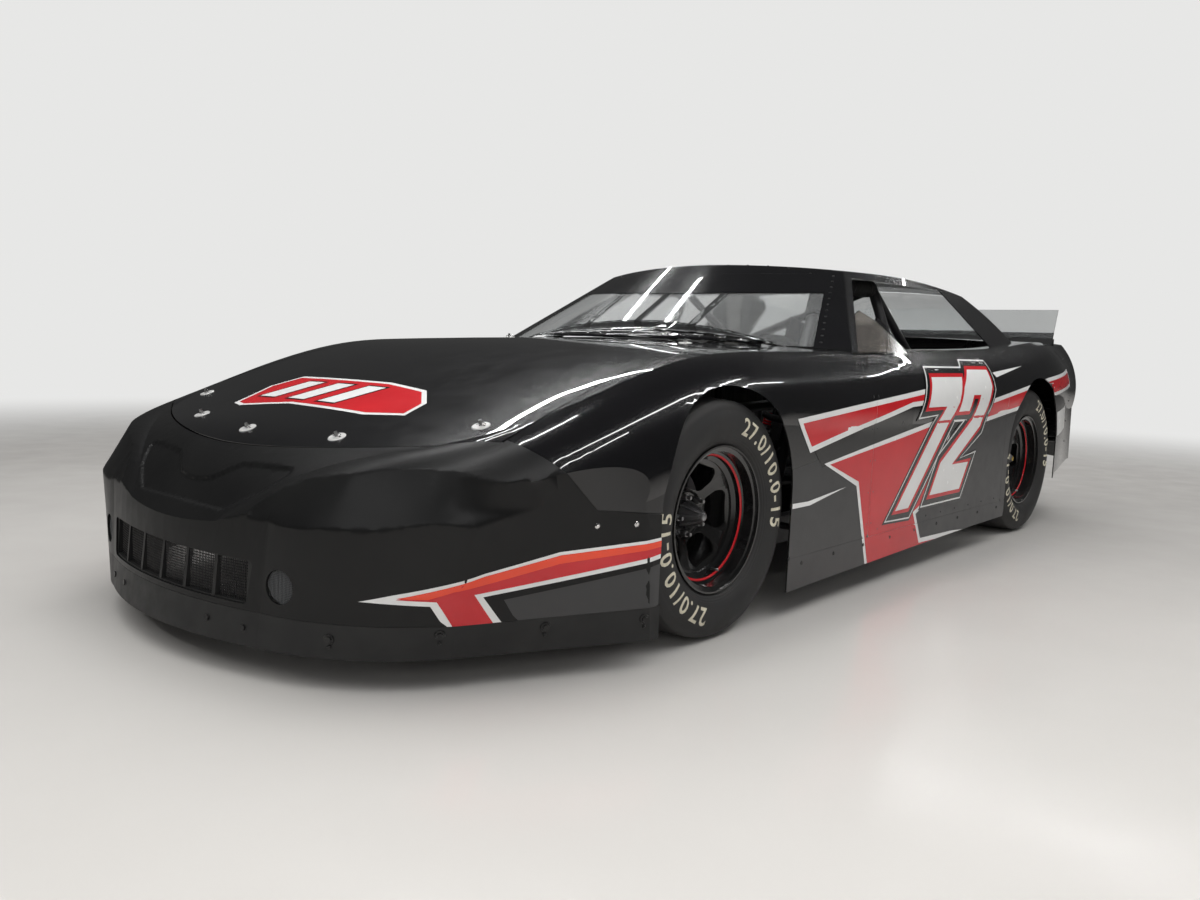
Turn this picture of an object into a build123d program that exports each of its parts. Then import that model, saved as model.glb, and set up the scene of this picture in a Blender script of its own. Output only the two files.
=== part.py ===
"""Late-model stock car: composite body panels on a tube chassis, millimetres, +X forward, +Z up."""
from math import cos, radians, sin
import os

from build123d import *

# Driving dimensions
WHEELBASE = 2616
TRACK = 1676
LENGTH = 4860
FRONT_OVERHANG = 1185
HALF_WIDTH = 1016
SKIN = 5
SEAM = 0.8
LID_GAP = 5
REST_GAP = 0.3

# Wheels, hubs and steering
TYRE_RADIUS = 349
TYRE_HALF_SECTION = 147
TREAD_HALF_WIDTH = 118
RIM_LIP_RADIUS = 214
RIM_HALF_WIDTH = 127
RIM_SHEET = 5
DISC_INSET = 22
ROTOR_RADIUS = 134
KINGPIN_INSET = 85
STEER_ARM = 120
ARCH_RADIUS_FRONT = 334
ARCH_RADIUS_REAR = 366

# Panel lines, measured back from the front axle or up from the ground
VALANCE_BOTTOM = 80
VALANCE_TOP = 168
HOOD_FRONT = 976
HOOD_CORNER_X = 720
HOOD_CORNER_Y = 820
HOOD_REAR = -545
HOOD_REAR_Y = 728
DOOR_FRONT = -885
DOOR_REAR = -2195
ROCKER_TOP = 192
LID_FRONT = -3005
LID_REAR = -3560
LID_HALF_WIDTH = 690
BUMPER_LINE = -3330

# Chassis tubes
RAIL_WIDTH = 50
RAIL_HEIGHT = 100
RAIL_Y = 640
RAIL_Z = 120
CAGE_RADIUS = 22
SEAT_Y = 395

# Body frame: everything below is placed from the two axles
FRONT_AXLE = LENGTH / 2 - FRONT_OVERHANG
REAR_AXLE = FRONT_AXLE - WHEELBASE
TAIL = -LENGTH / 2
WHEEL_Y = TRACK / 2
KINGPIN_Y = WHEEL_Y - KINGPIN_INSET

# Body sections: axle, offset from it, crown height, crest inset, crest height,
# side inset, side height, sill inset, sill height (insets are from the half width)
SECTIONS = [
    ("front", 1210, 290, 830, 285, 420, 180, 420, 60),
    ("front", 1120, 388, 766, 384, 356, 300, 356, 60),
    ("front", 1050, 474, 656, 462, 246, 335, 246, 60),
    ("front", 950, 554, 500, 532, 142, 360, 142, 60),
    ("front", 800, 608, 330, 582, 66, 400, 70, 60),
    ("front", 600, 668, 216, 644, 26, 425, 26, 60),
    ("front", 300, 757, 172, 742, 0, 470, 4, 60),
    ("front", 0, 823, 160, 810, 0, 590, 6, 60),
    ("front", -450, 856, 150, 833, 12, 600, 14, 80),
    ("front", -1000, 874, 146, 846, 16, 580, 18, 85),
    ("rear", 700, 890, 146, 866, 14, 590, 16, 100),
    ("rear", 0, 918, 150, 898, 0, 640, 2, 120),
    ("rear", -450, 940, 165, 925, 24, 650, 26, 180),
    ("rear", -1100, 962, 215, 948, 92, 650, 96, 240),
]

# Plan outline of the nose: height, centre x, break x and y, corner x and y, turn x and y, flank x and y
NOSE_PLAN = [
    (VALANCE_BOTTOM - 30, 1186, 1120, 400, 1020, 610, 830, 770, 320, 1030),
    (430, 1140, 1098, 430, 1030, 680, 850, 880, 330, 1030),
    (1100, 1060, 1050, 480, 1035, 800, 880, 1010, 340, 1030),
]

# Greenhouse outlines: height, windscreen centre x, its corner x and half width,
# rear corner from the rear axle and half width, rear centre from the rear axle
GREENHOUSE = [
    (800, -574, -845, 924, -186, 905, -366),
    (1050, -988, -1187, 705, -84, 690, -234),
    (1250, -1320, -1461, 530, 336, 520, 256),
]
ROOF_CROWN = [(-800, 1150), (-1250, 1195), (-1750, 1215), (-2350, 1197), (-2950, 1118)]
ROOF_DROP = 110


def at(dx):
    """Station measured from the front axle, forward positive."""
    return FRONT_AXLE + dx


def aft(dx):
    """Station written from the front axle of the standard car, kept fixed to the rear axle."""
    return REAR_AXLE + 2616 + dx


def body_section(row, inset):
    axle, dx, crown, crest_in, crest_z, side_in, side_z, sill_in, sill_z = row
    x = (FRONT_AXLE if axle == "front" else REAR_AXLE) + dx
    crest_y = HALF_WIDTH - crest_in - inset * 0.5
    side_y = HALF_WIDTH - side_in - inset
    sill_y = HALF_WIDTH - sill_in - inset
    top_z = crest_z - inset
    low_z = sill_z - (40 if inset > 0 else 0)
    knee_y = crest_y + 0.72 * (side_y - crest_y)
    knee_z = side_z + 0.70 * (top_z - side_z)
    with BuildSketch(Plane.YZ.offset(x)) as section:
        with BuildLine():
            ThreePointArc((-crest_y, top_z), (0, crown - inset), (crest_y, top_z))
            ThreePointArc((crest_y, top_z), (knee_y, knee_z), (side_y, side_z))
            Polyline((side_y, side_z), (sill_y, low_z), (-sill_y, low_z), (-side_y, side_z))
            ThreePointArc((-side_y, side_z), (-knee_y, knee_z), (-crest_y, top_z))
        make_face()
    return section.sketch


def nose_plan(row, inset):
    z, centre, break_x, break_y, corner_x, corner_y, turn_x, turn_y, flank_x, flank_y = row
    tail_edge = TAIL + inset
    with BuildSketch(Plane.XY.offset(z)) as outline:
        with BuildLine():
            ThreePointArc(
                (at(break_x - inset), break_y), (at(centre - inset), 0), (at(break_x - inset), -break_y)
            )
            for side in (1, -1):
                ThreePointArc(
                    (at(break_x - inset), side * break_y),
                    (at(corner_x - inset), side * (corner_y - inset * 0.6)),
                    (at(turn_x - inset * 0.7), side * (turn_y - inset * 0.8)),
                )
                Polyline(
                    (at(turn_x - inset * 0.7), side * (turn_y - inset * 0.8)),
                    (at(flank_x), side * (flank_y - inset)),
                    (REAR_AXLE - 560, side * (flank_y - inset)),
                    (tail_edge + 150, side * (flank_y - 100 - inset)),
                    (tail_edge + 60, side * 780),
                )
            ThreePointArc((tail_edge + 60, 780), (tail_edge, 0), (tail_edge + 60, -780))
        make_face()
    return outline.sketch


def body_solid(inset):
    """The whole body as one closed form, drawn in from the outside by the inset."""
    with BuildPart() as form:
        for row in SECTIONS:
            add(body_section(row, inset))
        loft()
    with BuildPart() as plan:
        for row in NOSE_PLAN:
            add(nose_plan(row, inset))
        loft()
    return form.part & plan.part


def greenhouse_solid(inset):
    """Roof and window form above the belt, drawn in from the outside by the inset."""
    with BuildPart() as form:
        for z, centre, corner, half, rear_corner, rear_half, rear_centre in GREENHOUSE:
            front_x = at(corner) - inset
            rear_x = REAR_AXLE + rear_corner + inset
            y = half - inset * 1.3
            rear_y = rear_half - inset * 1.3
            mid_x = (front_x + rear_x) / 2
            with BuildSketch(Plane.XY.offset(z)):
                with BuildLine():
                    ThreePointArc((front_x, y), (at(centre) - inset * 2, 0), (front_x, -y))
                    ThreePointArc((front_x, -y), (mid_x, -(y + rear_y) / 2 - 14), (rear_x, -rear_y))
                    ThreePointArc((rear_x, -rear_y), (REAR_AXLE + rear_centre + inset * 2, 0), (rear_x, rear_y))
                    ThreePointArc((rear_x, rear_y), (mid_x, (y + rear_y) / 2 + 14), (front_x, y))
                make_face()
        loft()
    with BuildPart() as cap:
        for dx, crown in ROOF_CROWN:
            with BuildSketch(Plane.YZ.offset(at(dx) if dx > -1500 else aft(dx))):
                with BuildLine():
                    edge = crown - ROOF_DROP - inset
                    ThreePointArc((-1000, edge), (0, crown - inset), (1000, edge))
                    Polyline((1000, edge), (1000, 700), (-1000, 700), (-1000, edge))
                make_face()
        loft()
    return form.part & cap.part


def side_profile(points, y_from, y_to, mode, corner=0):
    """Cut or keep by an outline drawn in side view, (x, z), between two widths."""
    with BuildSketch(Plane.XZ.offset(-y_from)) as profile:
        with BuildLine():
            Polyline(*points, close=True)
        make_face()
        if corner:
            fillet(profile.vertices(), corner)
    extrude(profile.sketch, amount=-(y_to - y_from), mode=mode)


def bar(start, end, radius):
    """A straight round bar between two points, added to the part being built."""
    run = Vector(*end) - Vector(*start)
    with BuildSketch(Plane(start, z_dir=run)) as round_end:
        Circle(radius)
    extrude(round_end.sketch, amount=run.length)


def block(x_from, x_to, y_from, y_to, z_from, z_to, mode=Mode.ADD):
    """A square-edged block between two corners, added to the part being built."""
    with BuildSketch(Plane.XY.offset(z_from)) as footprint:
        with Locations(((x_from + x_to) / 2, (y_from + y_to) / 2)):
            Rectangle(abs(x_to - x_from), abs(y_to - y_from))
    extrude(footprint.sketch, amount=z_to - z_from, mode=mode)


def finish(piece, label):
    piece.part.label = label
    export_step(piece.part, f"parts/{label}.step")


def finish_pair(piece, label):
    """Write a left-hand piece and its right-hand twin as two solids of one node."""
    with BuildPart() as pair:
        add(piece.part)
        mirror(about=Plane.XZ)
    finish(pair, label)


def finish_twin(piece, label):
    """Write the right-hand twin of a left-hand piece."""
    with BuildPart() as twin:
        add(piece.part)
        mirror(about=Plane.XZ, mode=Mode.REPLACE)
    finish(twin, label)


os.makedirs("parts", exist_ok=True)

# Outer skin, opened for the wheels, the grille and the cockpit
body_outer = body_solid(0)
body_inner = body_solid(SKIN)
mount_form = body_solid(SKIN + REST_GAP)
house_outer = greenhouse_solid(0)
house_inner = greenhouse_solid(SKIN)
cockpit_form = greenhouse_solid(28)

ARCHES = [(FRONT_AXLE, ARCH_RADIUS_FRONT, 400), (REAR_AXLE, ARCH_RADIUS_REAR, 382)]
BOTTOM_LINE = [
    (at(1300), VALANCE_BOTTOM - 60),
    (at(1300), VALANCE_BOTTOM),
    (at(320), VALANCE_BOTTOM),
    (at(-350), 86),
    (aft(-2300), 120),
    (aft(-2900), 150),
    (aft(-3010), 262),
    (TAIL - 50, 300),
    (TAIL - 50, VALANCE_BOTTOM - 60),
]

with BuildPart() as skin:
    add(body_outer)
    add(body_inner, mode=Mode.SUBTRACT)
    add(cockpit_form, mode=Mode.SUBTRACT)
    side_profile(BOTTOM_LINE, -1100, 1100, Mode.SUBTRACT)
    for axle_x, arch_radius, arch_z in ARCHES:
        for side in (1, -1):
            with BuildSketch(Plane.XZ.offset(-side * 600)):
                with Locations((axle_x, arch_z)):
                    Circle(arch_radius)
                with Locations((axle_x, arch_z - 300)):
                    Rectangle(2 * arch_radius, 600)
            extrude(amount=-side * 500, mode=Mode.SUBTRACT)

# Nose cover with its grille opening and side ducts
GRILLE_HALF_TOP = 382
GRILLE_HALF_BOTTOM = 366
GRILLE_TOP = 290
GRILLE_BOTTOM = 182
DUCT_Y = 470
DUCT_Z = 240
DUCT_RADIUS = 42
NOSE_SIDE = [
    (at(1300), VALANCE_TOP),
    (at(1300), 720),
    (at(HOOD_CORNER_X), 720),
    (at(HOOD_CORNER_X), 612),
    (at(538), 434),
    (at(300), 404),
    (at(300), VALANCE_TOP),
]


def hood_outline(grow):
    """Hood seen from above, grown by a gap on every side."""
    with BuildSketch(Plane.XY.offset(400)) as outline:
        with BuildLine():
            front = ThreePointArc(
                (at(HOOD_CORNER_X), HOOD_CORNER_Y + grow),
                (at(HOOD_FRONT) + grow, 0),
                (at(HOOD_CORNER_X), -HOOD_CORNER_Y - grow),
            )
            rear = ThreePointArc(
                (at(HOOD_REAR - 140) - grow, HOOD_REAR_Y + grow),
                (at(HOOD_REAR) - grow, 0),
                (at(HOOD_REAR - 140) - grow, -HOOD_REAR_Y - grow),
            )
            Line(front @ 0, rear @ 0)
            Line(front @ 1, rear @ 1)
        make_face()
    return outline.sketch


with BuildPart() as nose_cover:
    add(skin.part)
    side_profile(NOSE_SIDE, -1100, 1100, Mode.INTERSECT)
    extrude(hood_outline(LID_GAP), amount=600, mode=Mode.SUBTRACT)
    with BuildSketch(Plane.YZ.offset(at(900))) as grille_mouth:
        with BuildLine():
            Polyline(
                (-GRILLE_HALF_TOP, GRILLE_TOP), (GRILLE_HALF_TOP, GRILLE_TOP),
                (GRILLE_HALF_BOTTOM, GRILLE_BOTTOM), (-GRILLE_HALF_BOTTOM, GRILLE_BOTTOM), close=True,
            )
        make_face()
        fillet(grille_mouth.vertices(), 14)
    extrude(amount=400, mode=Mode.SUBTRACT)
    with BuildSketch(Plane.YZ.offset(at(900))):
        with Locations((DUCT_Y, DUCT_Z), (-DUCT_Y, DUCT_Z)):
            Circle(DUCT_RADIUS)
    extrude(amount=400, mode=Mode.SUBTRACT)
finish(nose_cover, "nose_cover")

# Valance strip bolted round the foot of the nose
with BuildPart() as nose_valance:
    add(body_outer)
    add(body_inner, mode=Mode.SUBTRACT)
    block(at(327), at(1300), -1100, 1100, VALANCE_BOTTOM, VALANCE_TOP - SEAM, mode=Mode.INTERSECT)
finish(nose_valance, "nose_valance")

# Hood
with BuildPart() as hood:
    add(skin.part)
    extrude(hood_outline(0), amount=600, mode=Mode.INTERSECT)
finish(hood, "hood")

# Cowl strip between hood and windscreen
with BuildPart() as cowl_panel:
    add(skin.part)
    block(at(-1100), at(-400), -HOOD_REAR_Y, HOOD_REAR_Y, 700, 1000, mode=Mode.INTERSECT)
    extrude(hood_outline(LID_GAP), amount=600, mode=Mode.SUBTRACT)
    block(at(-1300), at(-800), -1100, 1100, 0, 835, mode=Mode.SUBTRACT)
finish(cowl_panel, "cowl_panel")

# Left fender, door, quarter and rocker, and their right-hand twins
FENDER_SIDE = [
    (at(HOOD_CORNER_X) - SEAM, 720),
    (at(HOOD_CORNER_X) - SEAM, 612 + SEAM),
    (at(538), 434 + SEAM),
    (at(250), 400 + SEAM),
    (at(100), 200),
    (at(-300), ROCKER_TOP),
    (at(DOOR_FRONT), ROCKER_TOP),
    (at(DOOR_FRONT), 1000),
    (at(HOOD_CORNER_X) - SEAM, 1000),
]

with BuildPart() as left_fender:
    add(skin.part)
    side_profile(FENDER_SIDE, HOOD_REAR_Y - 120, 1100, Mode.INTERSECT)
    extrude(hood_outline(LID_GAP), amount=600, mode=Mode.SUBTRACT)
    block(at(-1300), at(-500), 0, HOOD_REAR_Y + SEAM, 500, 1000, mode=Mode.SUBTRACT)
finish_pair(left_fender, "front_fenders")

with BuildPart() as left_door:
    add(skin.part)
    block(aft(DOOR_REAR) + SEAM / 2, at(DOOR_FRONT) - SEAM, 300, 1100, ROCKER_TOP, 1000, mode=Mode.INTERSECT)
finish_pair(left_door, "door_panels")

with BuildPart() as left_rocker:
    add(skin.part)
    block(aft(-2400), at(-200), 300, 1100, 60, ROCKER_TOP - SEAM, mode=Mode.INTERSECT)
finish_pair(left_rocker, "rocker_panels")

with BuildPart() as left_quarter:
    add(skin.part)
    block(aft(BUMPER_LINE), aft(DOOR_REAR) - SEAM / 2, LID_HALF_WIDTH + LID_GAP, 1100, ROCKER_TOP, 1000, mode=Mode.INTERSECT)
finish_pair(left_quarter, "quarter_panels")

# Deck lid, tail panel and rear bumper cover
with BuildPart() as deck_lid:
    add(skin.part)
    block(aft(LID_REAR), aft(LID_FRONT), -LID_HALF_WIDTH, LID_HALF_WIDTH, 850, 1000, mode=Mode.INTERSECT)
finish(deck_lid, "deck_lid")

with BuildPart() as rear_bumper_cover:
    add(skin.part)
    block(TAIL - 50, aft(BUMPER_LINE) - SEAM, -1100, 1100, 200, 1000, mode=Mode.INTERSECT)
    block(
        aft(LID_REAR) - LID_GAP, aft(-2800),
        -LID_HALF_WIDTH - LID_GAP, LID_HALF_WIDTH + LID_GAP, 800, 1000, mode=Mode.SUBTRACT,
    )
finish(rear_bumper_cover, "rear_bumper_cover")

with BuildPart() as deck_filler:
    add(skin.part)
    block(
        aft(LID_FRONT) + LID_GAP, aft(DOOR_REAR) - SEAM,
        -LID_HALF_WIDTH - LID_GAP + SEAM, LID_HALF_WIDTH + LID_GAP - SEAM, 850, 1000, mode=Mode.INTERSECT,
    )
finish(deck_filler, "deck_filler")

# Greenhouse: roof with pillars, sail panels, windscreen, rear window and wind deflector
HEADER_Z = 1148
SCREEN_EDGE = [(at(-700), 760), (at(-817), 780), (at(-1322), HEADER_Z), (at(-1150), 1300), (at(-300), 1300), (at(-300), 760)]
SIDE_OPENING = [(at(-930), 830), (at(-1370), 1138), (aft(-2290), 1146), (aft(-2420), 830)]

with BuildPart() as house:
    add(house_outer)
    add(house_inner, mode=Mode.SUBTRACT)
    add(body_outer, mode=Mode.SUBTRACT)
    block(at(-400), aft(-3100), -1000, 1000, 700, 835, mode=Mode.SUBTRACT)


def rear_zone(shift):
    """Rear window region in side view, its curved edge moved by the shift."""
    with BuildSketch(Plane.XZ.offset(1000)) as zone:
        with BuildLine():
            edge = ThreePointArc(
                (aft(-2812) + shift, 780), (aft(-2722) + shift, 1050 - shift / 2), (aft(-2440) + shift, 1145 - shift)
            )
            Polyline(edge @ 1, (aft(-2440) + shift, 1300), (aft(-3300), 1300), (aft(-3300), 780), edge @ 0)
        make_face()
    return zone.sketch


with BuildPart() as windshield:
    add(house.part)
    side_profile(SCREEN_EDGE, -1000, 1000, Mode.INTERSECT)
    block(at(-300), at(-1500), -1000, 1000, 700, HEADER_Z, mode=Mode.INTERSECT)
finish(windshield, "windshield")

with BuildPart() as rear_window:
    add(house.part)
    extrude(rear_zone(0), amount=-2000, mode=Mode.INTERSECT)
finish(rear_window, "rear_window")

with BuildPart() as left_sail_panel:
    add(house.part)
    side_profile(
        [(aft(-2420) - SEAM, 800), (aft(-2285) - SEAM, 1150), (aft(-2445), 1122), (aft(-3300), 1122), (aft(-3300), 800)],
        300, 1000, Mode.INTERSECT,
    )
    extrude(rear_zone(SEAM), amount=-2000, mode=Mode.SUBTRACT)
finish_pair(left_sail_panel, "sail_panels")

with BuildPart() as roof_panel:
    add(house.part)
    side_profile(
        [(x - 2 * SEAM, z) for x, z in SCREEN_EDGE[1:3]] + [(at(-1320), HEADER_Z + SEAM), (at(-300), HEADER_Z + SEAM), (at(-300), 760)],
        -1000, 1000, Mode.SUBTRACT,
    )
    extrude(rear_zone(SEAM), amount=-2000, mode=Mode.SUBTRACT)
    side_profile(
        [(aft(-2420), 800), (aft(-2285), 1150 + SEAM), (aft(-2445), 1122 + SEAM), (aft(-3300), 1122 + SEAM), (aft(-3300), 800)],
        -1000, 1000, Mode.SUBTRACT,
    )
    side_profile(SIDE_OPENING, -1000, 1000, Mode.SUBTRACT)
finish(roof_panel, "roof_panel")

with BuildPart() as wind_deflector:
    add(house.part)
    side_profile(
        [(at(-932) - SEAM, 830), (at(-1150) - SEAM, 982), (at(-1215), 1000), (at(-1300), 960), (at(-1380), 830)],
        300, 1000, Mode.INTERSECT,
    )
finish(wind_deflector, "wind_deflector")

# Grille screen just behind the nose skin: six bays between five bars
GRILLE_DEPTH = 12
GRILLE_BAYS = 6
GRILLE_BAR = 12
GRILLE_EDGE = 14

with BuildPart() as grille_screen:
    add(mount_form)
    add(Pos(-GRILLE_DEPTH, 0, 0) * mount_form, mode=Mode.SUBTRACT)
    block(
        at(1000), at(1200), -GRILLE_HALF_TOP - GRILLE_EDGE, GRILLE_HALF_TOP + GRILLE_EDGE,
        VALANCE_TOP + 2, GRILLE_TOP + GRILLE_EDGE, mode=Mode.INTERSECT,
    )
    bay_pitch = 2 * GRILLE_HALF_BOTTOM / GRILLE_BAYS
    with BuildSketch(Plane.YZ.offset(at(900))):
        with Locations((0, (GRILLE_TOP + GRILLE_BOTTOM) / 2)):
            with GridLocations(bay_pitch, 1, GRILLE_BAYS, 1):
                Rectangle(bay_pitch - GRILLE_BAR, GRILLE_TOP - GRILLE_BOTTOM - 8)
    extrude(amount=400, mode=Mode.SUBTRACT)
finish(grille_screen, "grille_screen")

# Straps behind the windscreen, with lightening holes
STRAP_Y = (-290, -20, 250)
STRAP_WIDTH = 34

with BuildPart() as windshield_straps:
    add(house_inner)
    add(Pos(-5, 0, -3) * house_inner, mode=Mode.SUBTRACT)
    side_profile(SCREEN_EDGE, -1000, 1000, Mode.INTERSECT)
    with BuildSketch(Plane.XY.offset(880)):
        for strap_y in STRAP_Y:
            with Locations((at(-950), strap_y)):
                Rectangle(900, STRAP_WIDTH)
    extrude(amount=HEADER_Z - 880, mode=Mode.INTERSECT)
finish(windshield_straps, "windshield_straps")

# Spoiler: dark foot strip and clear blade across the tail
SPOILER_HALF = 762
SPOILER_FOOT_X = -3590
SPOILER_FOOT_TOP = 990
SPOILER_TOP = 1122
SPOILER_LEAN = 0.38
SPOILER_SHEET = 5


def blade_x(z, back=0):
    """Front face of the raked spoiler blade at a height, moved back by a distance."""
    return aft(SPOILER_FOOT_X) - (z - 950) * SPOILER_LEAN - back


with BuildPart() as spoiler_foot:
    side_profile(
        [(blade_x(900, 5), 900), (blade_x(SPOILER_FOOT_TOP, 5), SPOILER_FOOT_TOP),
         (blade_x(SPOILER_FOOT_TOP, 9), SPOILER_FOOT_TOP), (blade_x(955, 9), 955),
         (blade_x(955, 32), 955), (blade_x(955, 32), 900)],
        -SPOILER_HALF, SPOILER_HALF, Mode.ADD,
    )
    add(body_outer, mode=Mode.SUBTRACT)
finish(spoiler_foot, "spoiler_foot")

with BuildPart() as spoiler_blade:
    side_profile(
        [(blade_x(958), 958), (blade_x(SPOILER_TOP), SPOILER_TOP),
         (blade_x(SPOILER_TOP, SPOILER_SHEET), SPOILER_TOP), (blade_x(958, SPOILER_SHEET), 958)],
        -SPOILER_HALF, SPOILER_HALF, Mode.ADD,
    )
    add(body_outer, mode=Mode.SUBTRACT)
finish(spoiler_blade, "spoiler_blade")

# Perimeter frame with its front and rear clips
CLIP_Y = 335
REAR_RAIL_Y = 470
REAR_RAIL_Z = 500
FRONT_CROSS_X = 120
MAIN_FRONT = -500
MAIN_REAR = -2150


def mitred_tube(points, radius):
    """A round bar run through the points with mitred corners, added to the part being built."""
    with BuildLine() as route:
        Polyline(*points)
    with BuildSketch(Plane(points[0], z_dir=Vector(*points[1]) - Vector(*points[0]))) as round_end:
        Circle(radius)
    sweep(round_end.sketch, path=route.wire(), transition=Transition.RIGHT)


with BuildPart() as frame_rails:
    for side in (1, -1):
        y_in, y_out = side * (RAIL_Y - RAIL_WIDTH / 2), side * (RAIL_Y + RAIL_WIDTH / 2)
        block(aft(MAIN_REAR), at(MAIN_FRONT), y_in, y_out, RAIL_Z, RAIL_Z + RAIL_HEIGHT)
        block(at(MAIN_FRONT) - 10, at(560), side * (CLIP_Y - 25), side * (CLIP_Y + 25), 160, 240)
        mitred_tube(
            [(aft(MAIN_REAR) + 30, side * 500, 180), (aft(-2380), side * REAR_RAIL_Y, REAR_RAIL_Z),
             (aft(-2860), side * REAR_RAIL_Y, REAR_RAIL_Z), (aft(-3330), side * 420, 360)], 24,
        )
        bar((at(550), side * CLIP_Y, 212), (at(1040), side * 270, 335), 19)
    block(at(MAIN_FRONT) - 50, at(MAIN_FRONT), -RAIL_Y, RAIL_Y, RAIL_Z, RAIL_Z + RAIL_HEIGHT)
    block(aft(MAIN_REAR), aft(MAIN_REAR) + 50, -RAIL_Y, RAIL_Y, RAIL_Z, RAIL_Z + RAIL_HEIGHT)
    block(at(FRONT_CROSS_X) - 30, at(FRONT_CROSS_X) + 30, -CLIP_Y, CLIP_Y, 160, 230)
    bar((at(1040), -300, 335), (at(1040), 300, 335), 22)
    bar((aft(-2860), -REAR_RAIL_Y, REAR_RAIL_Z), (aft(-2860), REAR_RAIL_Y, REAR_RAIL_Z), 22)
    bar((aft(-3330) + 6, -440, 362), (aft(-3330) + 6, 440, 362), 21)
finish(frame_rails, "frame_rails")

# Roll cage
HOOP_X = -1800
HOOP_TOP = 1122
HALO_Y = 515
RAIL_TOP = RAIL_Z + RAIL_HEIGHT

with BuildPart() as roll_cage:
    for side in (1, -1):
        mitred_tube(
            [(aft(HOOP_X), side * RAIL_Y, RAIL_TOP - 20), (aft(HOOP_X), side * 640, 800),
             (aft(HOOP_X), side * HALO_Y, HOOP_TOP), (at(-1370), side * (HALO_Y - 25), HOOP_TOP - 12),
             (at(-880), side * 700, 800), (at(-810), side * RAIL_Y, RAIL_TOP - 20)], CAGE_RADIUS,
        )
        bar((aft(HOOP_X), side * HALO_Y, HOOP_TOP), (aft(-2850), side * REAR_RAIL_Y, REAR_RAIL_Z), 19)
        mitred_tube(
            [(at(-862), side * 685, 650), (at(330), side * 345, 545), (at(520), side * CLIP_Y, 230)], 19,
        )
    bar((aft(HOOP_X), -HALO_Y, HOOP_TOP), (aft(HOOP_X), HALO_Y, HOOP_TOP), CAGE_RADIUS)
    bar((at(-1370), 25 - HALO_Y, HOOP_TOP - 12), (at(-1370), HALO_Y - 25, HOOP_TOP - 12), CAGE_RADIUS)
    bar((at(-880), -700, 790), (at(-880), 700, 790), 19)
    bar((aft(HOOP_X), -640, 690), (aft(HOOP_X), 640, 690), 19)
    bar((aft(HOOP_X), -640, 690), (aft(HOOP_X), HALO_Y, HOOP_TOP), 19)
    for bar_z in (360, 490, 620):
        mitred_tube(
            [(at(-820), 650, bar_z), (at(-1000), 760, bar_z), (aft(-1620), 760, bar_z), (aft(HOOP_X), 640, bar_z)], 19,
        )
        bar((at(-830), -655, bar_z), (aft(HOOP_X), -640, bar_z), 19)
    add(frame_rails.part, mode=Mode.SUBTRACT)
finish(roll_cage, "roll_cage")

# Stays from the chassis out to the body panels
STAYS = [
    ((at(1040), 220, 335), (at(1300), 220, 335), 14),
    ((at(-640), 640, 232), (at(-640), 1100, 232), 12),
    ((aft(-1300), 640, 232), (aft(-1300), 1100, 232), 12),
    ((aft(-2120), 640, 232), (aft(-2120), 1100, 232), 12),
    ((aft(-3345), 430, 372), (aft(-3365), 1100, 420), 14),
    ((aft(-3330), 300, 360), (TAIL - 50, 300, 460), 14),
    ((at(500), 335, 230), (at(500), 335, 1000), 12),
    ((at(-520), 587, 620), (at(-520), 587, 1000), 12),
    ((aft(-3300), 400, 365), (aft(-3300), 400, 1100), 12),
]

with BuildPart() as body_stays:
    for start, end, radius in STAYS:
        for side in (1, -1):
            bar((start[0], side * start[1], start[2]), (end[0], side * end[1], end[2]), radius)
    add(mount_form, mode=Mode.INTERSECT)
    add(frame_rails.part, mode=Mode.SUBTRACT)
    add(roll_cage.part, mode=Mode.SUBTRACT)
finish(body_stays, "body_stays")

# Floor, firewall and interior deck sheets
SHEET = 3
TUNNEL_HALF = 165
TUNNEL_TOP = 400
FIREWALL_X = -770
DECK_Z = 806

with BuildPart() as floor_pan:
    block(aft(MAIN_REAR) + 50, at(FIREWALL_X), -RAIL_Y + 25, RAIL_Y - 25, RAIL_Z + 5, RAIL_Z + 5 + SHEET)
    block(aft(MAIN_REAR) + 50, at(FIREWALL_X), -TUNNEL_HALF, TUNNEL_HALF, RAIL_Z, TUNNEL_TOP)
    block(
        aft(MAIN_REAR) + 40, at(FIREWALL_X) + 10, SHEET - TUNNEL_HALF, TUNNEL_HALF - SHEET,
        RAIL_Z - 5, TUNNEL_TOP - SHEET, mode=Mode.SUBTRACT,
    )
finish(floor_pan, "floor_pan")

with BuildPart() as firewall:
    block(at(FIREWALL_X), at(FIREWALL_X) + SHEET, -RAIL_Y + 26, RAIL_Y - 26, RAIL_Z + 5, DECK_Z)
    block(at(FIREWALL_X) - 5, at(FIREWALL_X) + 10, -TUNNEL_HALF, TUNNEL_HALF, 100, TUNNEL_TOP + 30, mode=Mode.SUBTRACT)
    with BuildSketch(Plane.YZ.offset(at(FIREWALL_X) - 10)):
        with Locations((SEAT_Y, 565)):
            Circle(24)
    extrude(amount=30, mode=Mode.SUBTRACT)
    add(roll_cage.part, mode=Mode.SUBTRACT)
finish(firewall, "firewall")

with BuildPart() as interior_deck:
    block(aft(-2780), at(FIREWALL_X), -690, -30, DECK_Z, DECK_Z + SHEET)
    block(aft(-2780), aft(HOOP_X) - 60, -40, 690, DECK_Z, DECK_Z + SHEET)
    block(at(-1090), at(FIREWALL_X), -40, 620, DECK_Z, DECK_Z + SHEET)
    add(roll_cage.part, mode=Mode.SUBTRACT)
finish(interior_deck, "interior_deck")

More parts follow.
